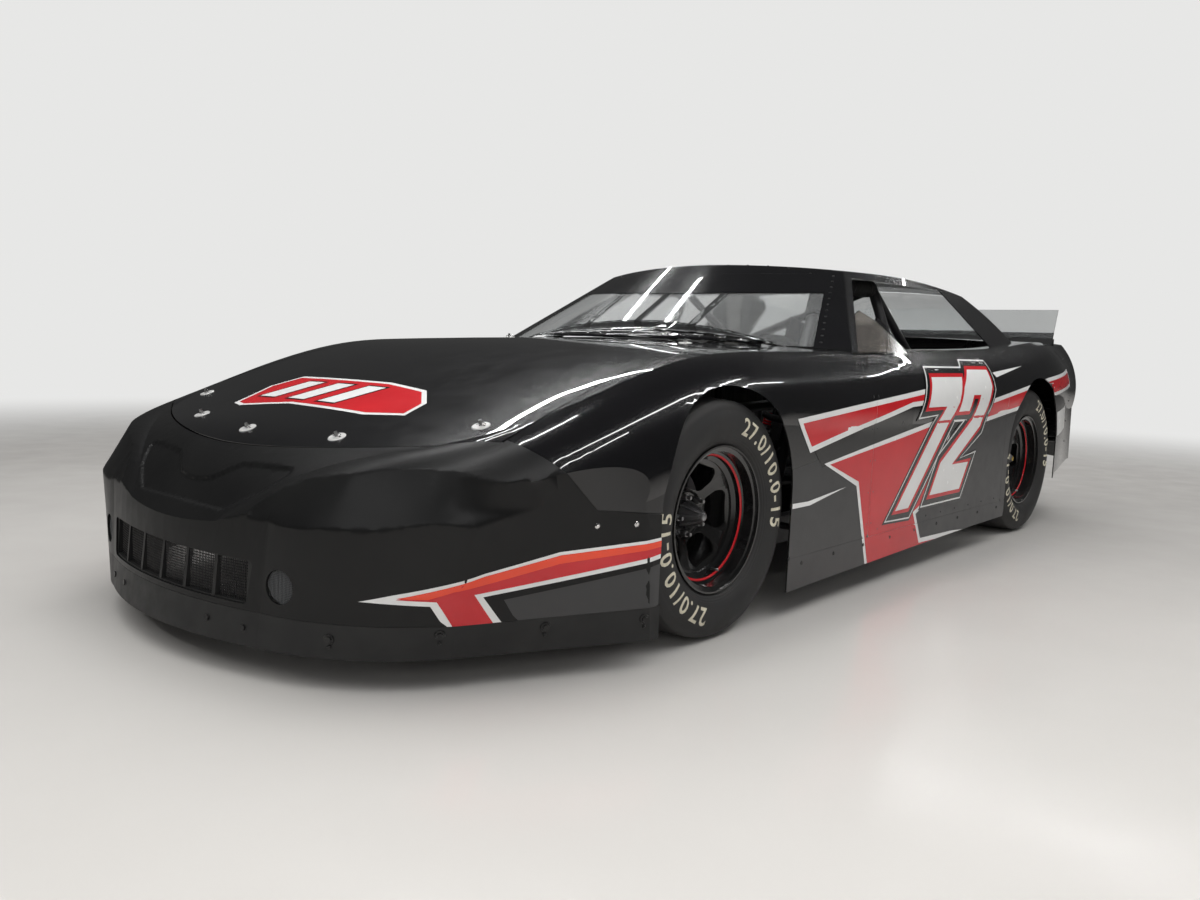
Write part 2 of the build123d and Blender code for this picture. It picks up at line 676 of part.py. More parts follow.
# Seat: folded aluminium bucket with side bolsters and headrest
SEAT_HALF = 215
SEAT_SIDE = [
    (at(-1270), 330), (at(-1270), 260), (at(-1670), 215), (at(-1750), 300), (at(-1770), 760),
    (at(-1770), 960), (at(-1670), 990), (at(-1620), 880), (at(-1580), 640), (at(-1540), 430),
]

with BuildPart() as seat:
    side_profile(SEAT_SIDE, SEAT_Y - SEAT_HALF, SEAT_Y + SEAT_HALF, Mode.ADD)
    side_profile(
        [(x + 24, z + 26) for x, z in SEAT_SIDE[1:6]] + [(at(-1480), 1100), (at(-1080), 500)],
        SEAT_Y - SEAT_HALF + 10, SEAT_Y + SEAT_HALF - 10, Mode.SUBTRACT,
    )
    for bracket_x in (-1320, -1620):
        block(
            at(bracket_x) - 15, at(bracket_x) + 15, SEAT_Y - 180, SEAT_Y + 180,
            RAIL_Z + 5 + SHEET, 262 if bracket_x > -1500 else 228,
        )
    side_profile(
        [(x + 24, z + 26) for x, z in SEAT_SIDE[1:6]] + [(at(-1480), 1100), (at(-1080), 500)],
        SEAT_Y - SEAT_HALF + 10, SEAT_Y + SEAT_HALF - 10, Mode.SUBTRACT,
    )
finish(seat, "seat")

# Steering wheel, column and shaft
WHEEL_HUB = Vector(at(-1235), SEAT_Y, 715)
COLUMN_FOOT = Vector(at(FIREWALL_X), SEAT_Y, 565)
COLUMN_DIRECTION = (COLUMN_FOOT - WHEEL_HUB).normalized()
STEERING_RIM = 178

with BuildPart() as steering_wheel:
    wheel_plane = Plane(WHEEL_HUB, x_dir=(0, 1, 0), z_dir=COLUMN_DIRECTION)
    with BuildSketch(Plane(WHEEL_HUB, x_dir=(0, 1, 0), z_dir=COLUMN_DIRECTION)):
        Circle(42)
        for angle in (0, 120, 240):
            with PolarLocations(STEERING_RIM / 2, 1, start_angle=90 + angle, rotate=True):
                Rectangle(STEERING_RIM, 30)
    extrude(amount=6)
    with BuildSketch(Plane(WHEEL_HUB, x_dir=(0, 1, 0), z_dir=COLUMN_DIRECTION)):
        Circle(24)
    extrude(amount=55)
    with Locations(wheel_plane):
        Torus(STEERING_RIM, 14)
finish(steering_wheel, "steering_wheel")

RACK_Z = 270
column_start = WHEEL_HUB + COLUMN_DIRECTION * 55.3

with BuildPart() as steering_column:
    mitred_tube(
        [tuple(column_start), tuple(COLUMN_FOOT), (at(FRONT_CROSS_X), 300, RACK_Z + 38)], 14,
    )
    bar((at(-1089), SEAT_Y, 668), (at(-1060), SEAT_Y, 659), 30)
    bar((at(-885), SEAT_Y, 605), (at(-885), SEAT_Y, 790), 10)
    add(roll_cage.part, mode=Mode.SUBTRACT)
finish(steering_column, "steering_column")

# Dashboard sheet, fitted round the column's collar
with BuildPart() as dashboard:
    block(at(-1090), at(-1087), -560, 620, 600, DECK_Z)
    add(steering_column.part, mode=Mode.SUBTRACT)
finish(dashboard, "dashboard")

# Steering rack: housing on the front cross member, sliding rack with its tie rods
with BuildPart() as rack_housing:
    bar((at(FRONT_CROSS_X), -190, RACK_Z), (at(FRONT_CROSS_X), 322, RACK_Z), 26)
    block(at(FRONT_CROSS_X) - 26, at(FRONT_CROSS_X) + 26, -150, -90, 230, RACK_Z)
    block(at(FRONT_CROSS_X) - 26, at(FRONT_CROSS_X) + 26, 90, 150, 230, RACK_Z)
    with BuildSketch(Plane.XZ.offset(400)):
        with Locations((at(FRONT_CROSS_X), RACK_Z)):
            Circle(13)
    extrude(amount=-800, mode=Mode.SUBTRACT)
    add(steering_column.part, mode=Mode.SUBTRACT)
    add(frame_rails.part, mode=Mode.SUBTRACT)
finish(rack_housing, "rack_housing")

ARM_Y = KINGPIN_Y
ARM_PIN = 7
EYE_SLOT = 26
EYE_BORE = 9
EYE_WALL = 6
EYE_DRIFT = 4

with BuildPart() as steering_rack:
    bar((at(STEER_ARM), -ARM_Y + EYE_BORE + 2, RACK_Z), (at(STEER_ARM), -340, RACK_Z), 8)
    bar((at(STEER_ARM), 340, RACK_Z), (at(STEER_ARM), ARM_Y - EYE_BORE - 2, RACK_Z), 8)
    bar((at(STEER_ARM), -350, RACK_Z), (at(STEER_ARM), 350, RACK_Z), 12.5)
    with BuildSketch(Plane.XY.offset(RACK_Z - 8)):
        with Locations((at(STEER_ARM) - EYE_DRIFT, ARM_Y), (at(STEER_ARM) - EYE_DRIFT, -ARM_Y)):
            SlotOverall(EYE_SLOT + 2 * EYE_WALL, 2 * (EYE_BORE + EYE_WALL))
    extrude(amount=16)
    with BuildSketch(Plane.XY.offset(RACK_Z - 20)):
        with Locations((at(STEER_ARM) - EYE_DRIFT, ARM_Y), (at(STEER_ARM) - EYE_DRIFT, -ARM_Y)):
            SlotOverall(EYE_SLOT, 2 * EYE_BORE)
    extrude(amount=40, mode=Mode.SUBTRACT)
finish(steering_rack, "steering_rack")

# Steering knuckles: upright, spindle, steering arm, kingpins and caliper
UPRIGHT_IN = -103
UPRIGHT_OUT = -74
UPRIGHT_HALF = 125
PIN_RADIUS = 8
PIN_LENGTH = 24
SPINDLE_RADIUS = 20
ROTOR_IN = -66
ROTOR_OUT = -46
CALIPER_REACH = 150
CALIPER_CLEAR = 5.5
RUNNING_GAP = 0.5


def caliper(axle_x, side):
    """Brake caliper astride the rotor behind the axle, added to the part being built."""
    y_in, y_out = side * (WHEEL_Y + UPRIGHT_IN + 5), side * (WHEEL_Y - DISC_INSET - 9)
    block(axle_x - CALIPER_REACH, axle_x - 20, y_in, side * (WHEEL_Y + UPRIGHT_OUT + 2), TYRE_RADIUS - 30, TYRE_RADIUS + 30)
    block(axle_x - CALIPER_REACH, axle_x - 98, y_in, y_out, TYRE_RADIUS - 38, TYRE_RADIUS + 38)
    slot = Plane((axle_x, side * (WHEEL_Y + ROTOR_IN - CALIPER_CLEAR), TYRE_RADIUS), x_dir=(1, 0, 0), z_dir=(0, side, 0))
    with BuildSketch(slot) as disc:
        Circle(ROTOR_RADIUS + CALIPER_CLEAR)
    extrude(disc.sketch, amount=ROTOR_OUT - ROTOR_IN + 2 * CALIPER_CLEAR, mode=Mode.SUBTRACT)


with BuildPart() as left_knuckle:
    caliper(FRONT_AXLE, 1)
    block(
        FRONT_AXLE - 24, FRONT_AXLE + 24, WHEEL_Y + UPRIGHT_IN, WHEEL_Y + UPRIGHT_OUT,
        TYRE_RADIUS - UPRIGHT_HALF, TYRE_RADIUS + UPRIGHT_HALF,
    )
    block(at(10), at(STEER_ARM) + 10, ARM_Y - 14, ARM_Y + 9, RACK_Z - 28, RACK_Z - 14)
    bar((at(STEER_ARM), ARM_Y, RACK_Z - 16), (at(STEER_ARM), ARM_Y, RACK_Z + 16), ARM_PIN)
    for sign in (1, -1):
        bar(
            (FRONT_AXLE, KINGPIN_Y, TYRE_RADIUS + sign * (UPRIGHT_HALF - 4)),
            (FRONT_AXLE, KINGPIN_Y, TYRE_RADIUS + sign * (UPRIGHT_HALF + PIN_LENGTH)), PIN_RADIUS,
        )
    bar((FRONT_AXLE, WHEEL_Y + UPRIGHT_OUT - 5, TYRE_RADIUS), (FRONT_AXLE, WHEEL_Y - 30, TYRE_RADIUS), SPINDLE_RADIUS)
finish(left_knuckle, "left_knuckle")
finish_twin(left_knuckle, "right_knuckle")

# Upper and lower control arms
ARM_EYE = 18
ARM_LOW_Z = TYRE_RADIUS - UPRIGHT_HALF - REST_GAP
ARM_HIGH_Z = TYRE_RADIUS + UPRIGHT_HALF + REST_GAP

with BuildPart() as front_arms:
    for side in (1, -1):
        for eye_z, spread, inner_y, inner_z in (
            (ARM_LOW_Z - 18, 150, CLIP_Y, 200), (ARM_HIGH_Z, 95, CLIP_Y + 62, ARM_HIGH_Z + 9)
        ):
            with BuildSketch(Plane.XY.offset(eye_z)):
                with Locations((FRONT_AXLE, side * KINGPIN_Y)):
                    Circle(ARM_EYE)
            extrude(amount=18)
            for sign in (1, -1):
                bar(
                    (FRONT_AXLE + sign * 6, side * (KINGPIN_Y - 14), eye_z + 9),
                    (FRONT_AXLE + sign * spread, side * inner_y, inner_z), 9,
                )
            bar((FRONT_AXLE - spread, side * inner_y, inner_z), (FRONT_AXLE + spread, side * inner_y, inner_z), 13)
        with BuildSketch(Plane.XY.offset(ARM_LOW_Z - 30)):
            with Locations((FRONT_AXLE, side * KINGPIN_Y)):
                Circle(PIN_RADIUS + RUNNING_GAP)
        extrude(amount=400, mode=Mode.SUBTRACT)
        for sign in (1, -1):
            bar(
                (FRONT_AXLE + sign * 60, side * (CLIP_Y + 62), ARM_HIGH_Z + 9),
                (FRONT_AXLE + sign * 60, side * (CLIP_Y + 10), 232), 11,
            )
    add(frame_rails.part, mode=Mode.SUBTRACT)
    add(roll_cage.part, mode=Mode.SUBTRACT)
finish(front_arms, "front_arms")

# Rear axle: tubes, centre housing, spindle stubs and calipers
with BuildPart() as rear_axle:
    for side in (1, -1):
        caliper(REAR_AXLE, side)
    bar((REAR_AXLE, -WHEEL_Y - UPRIGHT_OUT, TYRE_RADIUS), (REAR_AXLE, WHEEL_Y + UPRIGHT_OUT, TYRE_RADIUS), 38)
    bar((REAR_AXLE, 30 - WHEEL_Y, TYRE_RADIUS), (REAR_AXLE, WHEEL_Y - 30, TYRE_RADIUS), SPINDLE_RADIUS)
    bar((REAR_AXLE, -95, TYRE_RADIUS), (REAR_AXLE, 95, TYRE_RADIUS), 125)
    block(REAR_AXLE - 190, REAR_AXLE, -90, 90, TYRE_RADIUS - 125, TYRE_RADIUS + 60)
    bar((REAR_AXLE, 0, TYRE_RADIUS - 20), (REAR_AXLE + 210, 0, TYRE_RADIUS - 20), 48)
    for side in (1, -1):
        block(REAR_AXLE - 55, REAR_AXLE + 55, side * 485, side * 515, TYRE_RADIUS - 120, TYRE_RADIUS + 20)
finish(rear_axle, "rear_axle")

# Wheels: tyre, wheel shell and hub with rotor, one set per corner
BEAD_RADIUS = RIM_LIP_RADIUS - 13
WELL_RADIUS = RIM_LIP_RADIUS - 42
FLANGE = 8
BEAD_EDGE = RIM_HALF_WIDTH - FLANGE - 3
SHOULDER = BEAD_EDGE - 32
RIM_BARREL = [
    (-RIM_HALF_WIDTH, RIM_LIP_RADIUS), (FLANGE - RIM_HALF_WIDTH, RIM_LIP_RADIUS), (-BEAD_EDGE, BEAD_RADIUS),
    (-SHOULDER, BEAD_RADIUS - 3), (14 - SHOULDER, WELL_RADIUS), (34, WELL_RADIUS), (50, BEAD_RADIUS - 3),
    (BEAD_EDGE, BEAD_RADIUS), (RIM_HALF_WIDTH - FLANGE, RIM_LIP_RADIUS), (RIM_HALF_WIDTH, RIM_LIP_RADIUS),
]
TYRE_SHAPE = [
    (0.4 - BEAD_EDGE, BEAD_RADIUS + 2), (-BEAD_EDGE - 2.4, RIM_LIP_RADIUS + 1), (-TYRE_HALF_SECTION, 268),
    (7 - TYRE_HALF_SECTION, TYRE_RADIUS - 33), (-TREAD_HALF_WIDTH, TYRE_RADIUS - 6), (0, TYRE_RADIUS),
]
SHOULDER_ARC = (TREAD_HALF_WIDTH + 13, TYRE_RADIUS - 15)
WINDOW_COUNT = 8
WINDOW_RADIUS = 122


def tyre_outline(side):
    beads = [(side * u, r) for u, r in TYRE_SHAPE]
    far = [(-side * u, r) for u, r in TYRE_SHAPE]
    return beads, far


for corner, axle_x, side in (
    ("front_left", FRONT_AXLE, 1), ("front_right", FRONT_AXLE, -1), ("rear_left", REAR_AXLE, 1), ("rear_right", REAR_AXLE, -1),
):
    centre = Vector(axle_x, side * WHEEL_Y, TYRE_RADIUS)
    section = Plane(centre, x_dir=(0, side, 0), z_dir=(side, 0, 0))
    spin = Axis(centre, (0, 1, 0))
    with BuildPart() as tyre:
        with BuildSketch(section):
            with BuildLine():
                left, right = tyre_outline(1)
                Line(left[0], left[1])
                ThreePointArc(left[1], left[2], left[3])
                ThreePointArc(left[3], (-SHOULDER_ARC[0], SHOULDER_ARC[1]), left[4])
                ThreePointArc(left[4], left[5], right[4])
                ThreePointArc(right[4], SHOULDER_ARC, right[3])
                ThreePointArc(right[3], right[2], right[1])
                Line(right[1], right[0])
                Line(right[0], left[0])
            make_face()
        revolve(axis=spin)
    finish(tyre, f"{corner}_tyre")
    with BuildPart() as rim:
        with BuildSketch(section):
            with BuildLine():
                Polyline(*RIM_BARREL, *[(u, r - RIM_SHEET) for u, r in reversed(RIM_BARREL)], close=True)
            make_face()
            with BuildLine():
                Polyline((-DISC_INSET - 3, 37), (-DISC_INSET + 3, 37), (-DISC_INSET + 9, 70), (-DISC_INSET + 15, 169),
                         (-DISC_INSET + 9, 169), (-DISC_INSET + 3, 70), (-DISC_INSET - 3, 64), close=True)
            make_face()
        revolve(axis=spin)
        face = Plane(centre + Vector(0, -side * 60, 0), x_dir=(1, 0, 0), z_dir=(0, side, 0))
        with BuildSketch(face):
            with PolarLocations(WINDOW_RADIUS, WINDOW_COUNT):
                SlotOverall(52, 30, rotation=90)
        extrude(amount=90, mode=Mode.SUBTRACT)
    finish(rim, f"{corner}_wheel")
    with BuildPart() as hub:
        with BuildSketch(section):
            with BuildLine():
                Polyline(
                    (ROTOR_IN, SPINDLE_RADIUS + RUNNING_GAP), (ROTOR_IN, ROTOR_RADIUS), (ROTOR_OUT, ROTOR_RADIUS),
                    (ROTOR_OUT, 46), (-DISC_INSET - 14, 46), (-DISC_INSET - 14, 60), (-DISC_INSET - 3, 60),
                    (-DISC_INSET - 3, 36), (4, 34), (26, 20), (26, 0), (-28, 0), (-28, SPINDLE_RADIUS + RUNNING_GAP),
                    close=True,
                )
            make_face()
        revolve(axis=spin)
    finish(hub, f"{corner}_hub")

# Coilovers and rear links
COIL_RADIUS = 32
COIL_ROD = 12

with BuildPart() as coilovers:
    for side in (1, -1):
        for foot, head in (
            ((FRONT_AXLE, side * 610, 206), (FRONT_AXLE, side * 439, 574)),
            ((REAR_AXLE - 85, side * 540, TYRE_RADIUS - 20), (REAR_AXLE - 85, side * 476, 588)),
        ):
            run = Vector(*head) - Vector(*foot)
            bar(foot, head, COIL_ROD)
            bar(tuple(Vector(*foot) + run * 0.22), tuple(Vector(*foot) + run * 0.82), COIL_RADIUS)
        bar((FRONT_AXLE - 62, side * 610, 206), (FRONT_AXLE + 62, side * 610, 206), 9)
        bar((REAR_AXLE, side * 540, TYRE_RADIUS), (REAR_AXLE - 92, side * 540, TYRE_RADIUS - 20), 15)
    for solid in (frame_rails, roll_cage, front_arms, rear_axle):
        add(solid.part, mode=Mode.SUBTRACT)
finish(coilovers, "coilovers")

with BuildPart() as rear_links:
    for side in (1, -1):
        bar((REAR_AXLE + 40, side * 500, 260), (aft(MAIN_REAR) + 10, side * 560, 190), 14)
    bar((REAR_AXLE + 75, -480, 300), (REAR_AXLE + 75, 440, 330), 12)
    bar((REAR_AXLE + 75, 440, 330), (REAR_AXLE + 75, REAR_RAIL_Y, REAR_RAIL_Z), 12)
    bar((REAR_AXLE + 75, -480, 300), (REAR_AXLE + 40, -500, 300), 12)
    for solid in (frame_rails, rear_axle):
        add(solid.part, mode=Mode.SUBTRACT)
finish(rear_links, "rear_links")

# Engine, gearbox, driveshaft, radiator, fuel cell and exhaust
with BuildPart() as engine_block:
    block(at(-640), at(-60), -250, 250, 240, 640)
    block(at(-500), at(-200), -309.7, 309.7, 300, 360)
finish(engine_block, "engine_block")

with BuildPart() as gearbox:
    with BuildSketch(Plane.YZ.offset(at(-640))):
        with Locations((0, 330)):
            Circle(150)
    with BuildSketch(Plane.YZ.offset(at(-820))):
        with Locations((0, 300)):
            Circle(92)
    loft()
    bar((at(-820), 0, 300), (at(-1150), 0, 300), 80)
    block(at(-1140), at(-1100), -162, 162, 220, 250)
    add(floor_pan.part, mode=Mode.SUBTRACT)
finish(gearbox, "gearbox")

with BuildPart() as driveshaft:
    bar((at(-1150), 0, 300), (REAR_AXLE + 210, 0, TYRE_RADIUS - 20), 38)
    add(gearbox.part, mode=Mode.SUBTRACT)
    add(rear_axle.part, mode=Mode.SUBTRACT)
    add(frame_rails.part, mode=Mode.SUBTRACT)
finish(driveshaft, "driveshaft")

with BuildPart() as radiator:
    block(at(600), at(655), -309, 309, 170, 560)
    block(at(560), at(655), -CLIP_Y, -309, 170, 240)
    block(at(560), at(655), 309, CLIP_Y, 170, 240)
    add(frame_rails.part, mode=Mode.SUBTRACT)
finish(radiator, "radiator")

with BuildPart() as fuel_cell:
    block(aft(-3290), aft(-2850), -330, 330, 210, REAR_RAIL_Z - 22 - REST_GAP)
    add(frame_rails.part, mode=Mode.SUBTRACT)
finish(fuel_cell, "fuel_cell")

with BuildPart() as exhaust:
    mitred_tube(
        [(at(-520), -300, 330), (at(-600), -480, 282), (at(-690), -700, 262), (at(-800), -800, 172),
         (aft(-2040), -800, 172), (aft(-2150), -960, 160)], 32,
    )
    add(engine_block.part, mode=Mode.SUBTRACT)
    add(frame_rails.part, mode=Mode.SUBTRACT)
    add(body_stays.part, mode=Mode.SUBTRACT)
finish(exhaust, "exhaust")
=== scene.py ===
from math import atan2, cos, hypot, radians, sin, tau

import bmesh
import bpy
from mathutils import Matrix, Vector
from mathutils.bvhtree import BVHTree


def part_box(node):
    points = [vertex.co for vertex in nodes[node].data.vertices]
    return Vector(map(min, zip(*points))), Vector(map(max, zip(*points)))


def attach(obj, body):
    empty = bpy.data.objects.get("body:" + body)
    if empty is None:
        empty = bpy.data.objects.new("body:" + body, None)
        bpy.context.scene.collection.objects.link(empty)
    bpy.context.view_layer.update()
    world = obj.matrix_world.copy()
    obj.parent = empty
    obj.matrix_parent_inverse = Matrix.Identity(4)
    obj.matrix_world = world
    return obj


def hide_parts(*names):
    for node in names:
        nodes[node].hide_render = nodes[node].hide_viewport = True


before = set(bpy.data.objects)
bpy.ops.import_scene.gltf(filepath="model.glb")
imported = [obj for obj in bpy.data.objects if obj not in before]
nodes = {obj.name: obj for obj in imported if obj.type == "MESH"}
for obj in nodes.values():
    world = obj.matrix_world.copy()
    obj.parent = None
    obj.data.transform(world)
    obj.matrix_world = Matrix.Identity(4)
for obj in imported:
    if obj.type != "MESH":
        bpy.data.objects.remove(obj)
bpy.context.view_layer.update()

# Stations and sizes of the car, in metres
FRONT_AXLE = 1.245
REAR_AXLE = -1.371
WHEEL_Y = 0.838
WHEEL_Z = 0.349
SEAT_Y = 0.395
WIDEST = 1.0186

# Vinyl film: its lift off the panel, the step from layer to layer, and the size of its mesh cells
FILM = 0.0006
LAYER = 0.0004
FILM_CELL = 0.022

BOTH = ("left", "right")
CORNERS = {
    "front_left": (FRONT_AXLE, 1), "front_right": (FRONT_AXLE, -1),
    "rear_left": (REAR_AXLE, 1), "rear_right": (REAR_AXLE, -1),
}


def at(dx):
    """Station measured from the front axle, forward positive."""
    return FRONT_AXLE + dx


# Finishes: every one gets its colour, roughness and relief from noise in object coordinates


def wire(tree, kind, links=(), **values):
    """Add a shader node, link its inputs and set its plain values."""
    node = tree.nodes.new(kind)
    for key, value in values.items():
        setattr(node, key, value)
    for socket, source in dict(links).items():
        if hasattr(source, "is_output"):
            tree.links.new(source, node.inputs[socket])
        else:
            node.inputs[socket].default_value = source
    return node


def object_spot(tree, centre=(0, 0, 0), stretch=(1, 1, 1)):
    """Object coordinates, centred and stretched."""
    coords = wire(tree, "ShaderNodeTexCoord")
    mapping = wire(tree, "ShaderNodeMapping", {
        "Vector": coords.outputs["Object"],
        "Location": tuple(-c * s for c, s in zip(centre, stretch)),
        "Scale": stretch,
    })
    return mapping.outputs["Vector"]


def noise(tree, spot, scale, detail=4.0, roughness=0.55):
    return wire(tree, "ShaderNodeTexNoise", {
        "Vector": spot, "Scale": scale, "Detail": detail, "Roughness": roughness,
    }).outputs["Fac"]


def ranged(tree, value, low, high, start=0.3, end=0.7):
    return wire(tree, "ShaderNodeMapRange", {
        "Value": value, "From Min": start, "From Max": end, "To Min": low, "To Max": high,
    }).outputs["Result"]


def blended(tree, value, first, second):
    mix = wire(tree, "ShaderNodeMix", data_type="RGBA")
    tree.links.new(value, mix.inputs["Factor"])
    for socket, colour in (("A", first), ("B", second)):
        target = [i for i in mix.inputs if i.name == socket and i.type == "RGBA"][0]
        if hasattr(colour, "is_output"):
            tree.links.new(colour, target)
        else:
            target.default_value = (*colour, 1)
    return [o for o in mix.outputs if o.type == "RGBA"][0]


def relief(tree, shader, height, distance):
    bump = wire(tree, "ShaderNodeBump", {"Height": height, "Distance": distance, "Strength": 1.0})
    tree.links.new(bump.outputs["Normal"], shader.inputs["Normal"])


def reckon(tree, operation, *values):
    """A sum of one or two values."""
    return wire(tree, "ShaderNodeMath", dict(enumerate(values)), operation=operation).outputs[0]


def wheel_radius(tree, spot):
    """Distance from a wheel's axis."""
    split = wire(tree, "ShaderNodeSeparateXYZ", {"Vector": spot})
    flat = wire(tree, "ShaderNodeCombineXYZ", {"X": split.outputs["X"], "Z": split.outputs["Z"]})
    reach = wire(tree, "ShaderNodeVectorMath", {0: flat.outputs["Vector"]}, operation="LENGTH")
    return reach.outputs["Value"]


def new_finish(name, metallic=0.0, coat=0.0, coat_roughness=0.03, specular=0.5):
    material = bpy.data.materials.new(name)
    material.use_nodes = True
    tree = material.node_tree
    shader = tree.nodes["Principled BSDF"]
    shader.inputs["Metallic"].default_value = metallic
    shader.inputs["Coat Weight"].default_value = coat
    shader.inputs["Coat Roughness"].default_value = coat_roughness
    shader.inputs["Specular IOR Level"].default_value = specular
    return material, tree, shader


def coloured(tree, shader, colour, rough):
    tree.links.new(colour, shader.inputs["Base Color"])
    tree.links.new(rough, shader.inputs["Roughness"])


def plain_grain(name, dark, light, rough, tone_scale=3.0, metallic=0.0, coat=0.0, coat_roughness=0.03,
                specular=0.5, stretch=(1, 1, 1), grain=300.0, depth=0.0001):
    """A finish with a soft change of tone, patchy roughness and a fine grain standing on it."""
    material, tree, shader = new_finish(name, metallic, coat, coat_roughness, specular)
    spot = object_spot(tree, stretch=stretch)
    tone = noise(tree, spot, tone_scale)
    fine = noise(tree, spot, grain, 3.0)
    patchy = noise(tree, spot, tone_scale * 5, 5.0)
    colour = blended(tree, ranged(tree, tone, 0, 1), dark, light)
    coloured(tree, shader, colour, ranged(tree, patchy, *rough))
    relief(tree, shader, fine, depth)
    return material


def clear_plastic(name, tint, rough=(0.0, 0.05)):
    """Clear or smoked polycarbonate sheet, faintly hazed by wiping."""
    material, tree, shader = new_finish(name)
    shader.inputs["Transmission Weight"].default_value = 1.0
    shader.inputs["IOR"].default_value = 1.45
    haze = noise(tree, object_spot(tree, stretch=(1, 3, 1)), 6.0, 6.0)
    hazed = tuple(c * 0.97 for c in tint)
    colour = blended(tree, ranged(tree, haze, 0, 1), tint, hazed)
    coloured(tree, shader, colour, ranged(tree, haze, *rough))
    wipe = noise(tree, object_spot(tree, stretch=(2, 30, 2)), 8.0, 3.0)
    relief(tree, shader, wipe, 0.00002)
    return material


def tyre_rubber(name, centre):
    """Slick racing tyre: moulded rings and dust on the sidewall, scrubbed tread."""
    material, tree, shader = new_finish(name, specular=0.35)
    spot = object_spot(tree, centre)
    radius = wheel_radius(tree, spot)
    dust = noise(tree, spot, 9.0, 7.0, 0.65)
    fine = noise(tree, spot, 420.0, 2.0)
    worn = ranged(tree, radius, 0, 1, 0.325, 0.343)
    side_tone = blended(tree, ranged(tree, dust, 0, 1), (0.020, 0.020, 0.021), (0.034, 0.033, 0.032))
    tread_tone = blended(tree, ranged(tree, dust, 0, 1), (0.026, 0.026, 0.027), (0.050, 0.048, 0.046))
    coloured(tree, shader, blended(tree, worn, side_tone, tread_tone), ranged(tree, dust, 0.50, 0.78))
    waves = reckon(tree, "SINE", reckon(tree, "MULTIPLY", radius, 900.0))
    lined = reckon(tree, "MULTIPLY", waves, ranged(tree, radius, 1, 0, 0.236, 0.242))
    relief(tree, shader, reckon(tree, "ADD", lined, fine), 0.00022)
    return material


def turned_iron(name, centre):
    """Brake disc: fine turned rings and a hot-run blue-grey tone."""
    material, tree, shader = new_finish(name, metallic=1.0)
    spot = object_spot(tree, centre)
    radius = wheel_radius(tree, spot)
    ring_spot = wire(tree, "ShaderNodeCombineXYZ", {"X": radius})
    rings = noise(tree, ring_spot.outputs["Vector"], 900.0, 3.0)
    patch = noise(tree, spot, 22.0, 5.0)
    on_disc = ranged(tree, radius, 0, 1, 0.088, 0.092)
    disc = blended(tree, ranged(tree, rings, 0, 1), (0.30, 0.30, 0.32), (0.46, 0.45, 0.45))
    hub = blended(tree, ranged(tree, patch, 0, 1), (0.035, 0.035, 0.037), (0.075, 0.073, 0.072))
    coloured(tree, shader, blended(tree, on_disc, hub, disc), ranged(tree, patch, 0.28, 0.45))
    relief(tree, shader, rings, 0.00008)
    return material


def webbing(name, dark, light):
    """Woven strap: a small over-and-under weave with a slight sheen."""
    material, tree, shader = new_finish(name)
    shader.inputs["Sheen Weight"].default_value = 0.3
    spot = object_spot(tree)
    weave = wire(tree, "ShaderNodeTexWave", {"Vector": spot, "Scale": 160.0, "Distortion": 0.6},
                 bands_direction="DIAGONAL")
    tone = noise(tree, spot, 14.0)
    colour = blended(tree, ranged(tree, tone, 0, 1), dark, light)
    coloured(tree, shader, colour, ranged(tree, tone, 0.65, 0.85))
    relief(tree, shader, weave.outputs["Fac"], 0.0004)
    return material


GLOSS_BLACK = plain_grain("gloss_black_enamel", (0.0035, 0.0035, 0.0040), (0.0060, 0.0060, 0.0068),
                          (0.16, 0.26), coat=1.0, coat_roughness=0.015, specular=0.12, grain=38.0,
                          depth=0.00003)
SATIN_NOSE = plain_grain("satin_black_moulding", (0.0060, 0.0060, 0.0062), (0.0095, 0.0095, 0.0094),
                         (0.34, 0.42), specular=0.24, coat=0.06, coat_roughness=0.22, grain=190.0,
                         depth=0.00003)
MATT_SKIRT = plain_grain("matt_black_skirt", (0.010, 0.010, 0.0105), (0.017, 0.017, 0.0165), (0.42, 0.55),
                         tone_scale=5.0, grain=260.0, depth=0.00006, specular=0.4)
CHASSIS_BLACK = plain_grain("black_powder_coat", (0.014, 0.014, 0.015), (0.022, 0.022, 0.023), (0.32, 0.45),
                            tone_scale=9.0, grain=520.0, depth=0.00015)
CHASSIS_GREY = plain_grain("grey_powder_coat", (0.070, 0.072, 0.075), (0.100, 0.102, 0.105), (0.35, 0.50),
                           tone_scale=9.0, grain=520.0, depth=0.00015)
SHEET_METAL = plain_grain("brushed_aluminium_sheet", (0.42, 0.43, 0.44), (0.58, 0.58, 0.59), (0.28, 0.42),
                          metallic=1.0, stretch=(1, 14, 1), tone_scale=8.0, grain=120.0, depth=0.00006)
BLACK_SHEET = plain_grain("black_sheet_metal", (0.012, 0.012, 0.013), (0.021, 0.021, 0.021), (0.38, 0.52),
                          tone_scale=6.0, grain=420.0, depth=0.00008)
WHEEL_BLACK = plain_grain("gloss_black_wheel", (0.0050, 0.0050, 0.0055), (0.012, 0.0115, 0.011), (0.14, 0.26),
                          tone_scale=14.0, coat=0.7, coat_roughness=0.05, specular=0.4, grain=60.0,
                          depth=0.00005)
CAST_METAL = plain_grain("cast_metal", (0.10, 0.10, 0.105), (0.19, 0.185, 0.18), (0.42, 0.62),
                         metallic=0.7, tone_scale=12.0, grain=260.0, depth=0.0005)
STEEL = plain_grain("plain_steel", (0.28, 0.28, 0.29), (0.42, 0.42, 0.42), (0.26, 0.40),
                    metallic=1.0, tone_scale=16.0, grain=300.0, depth=0.00006)
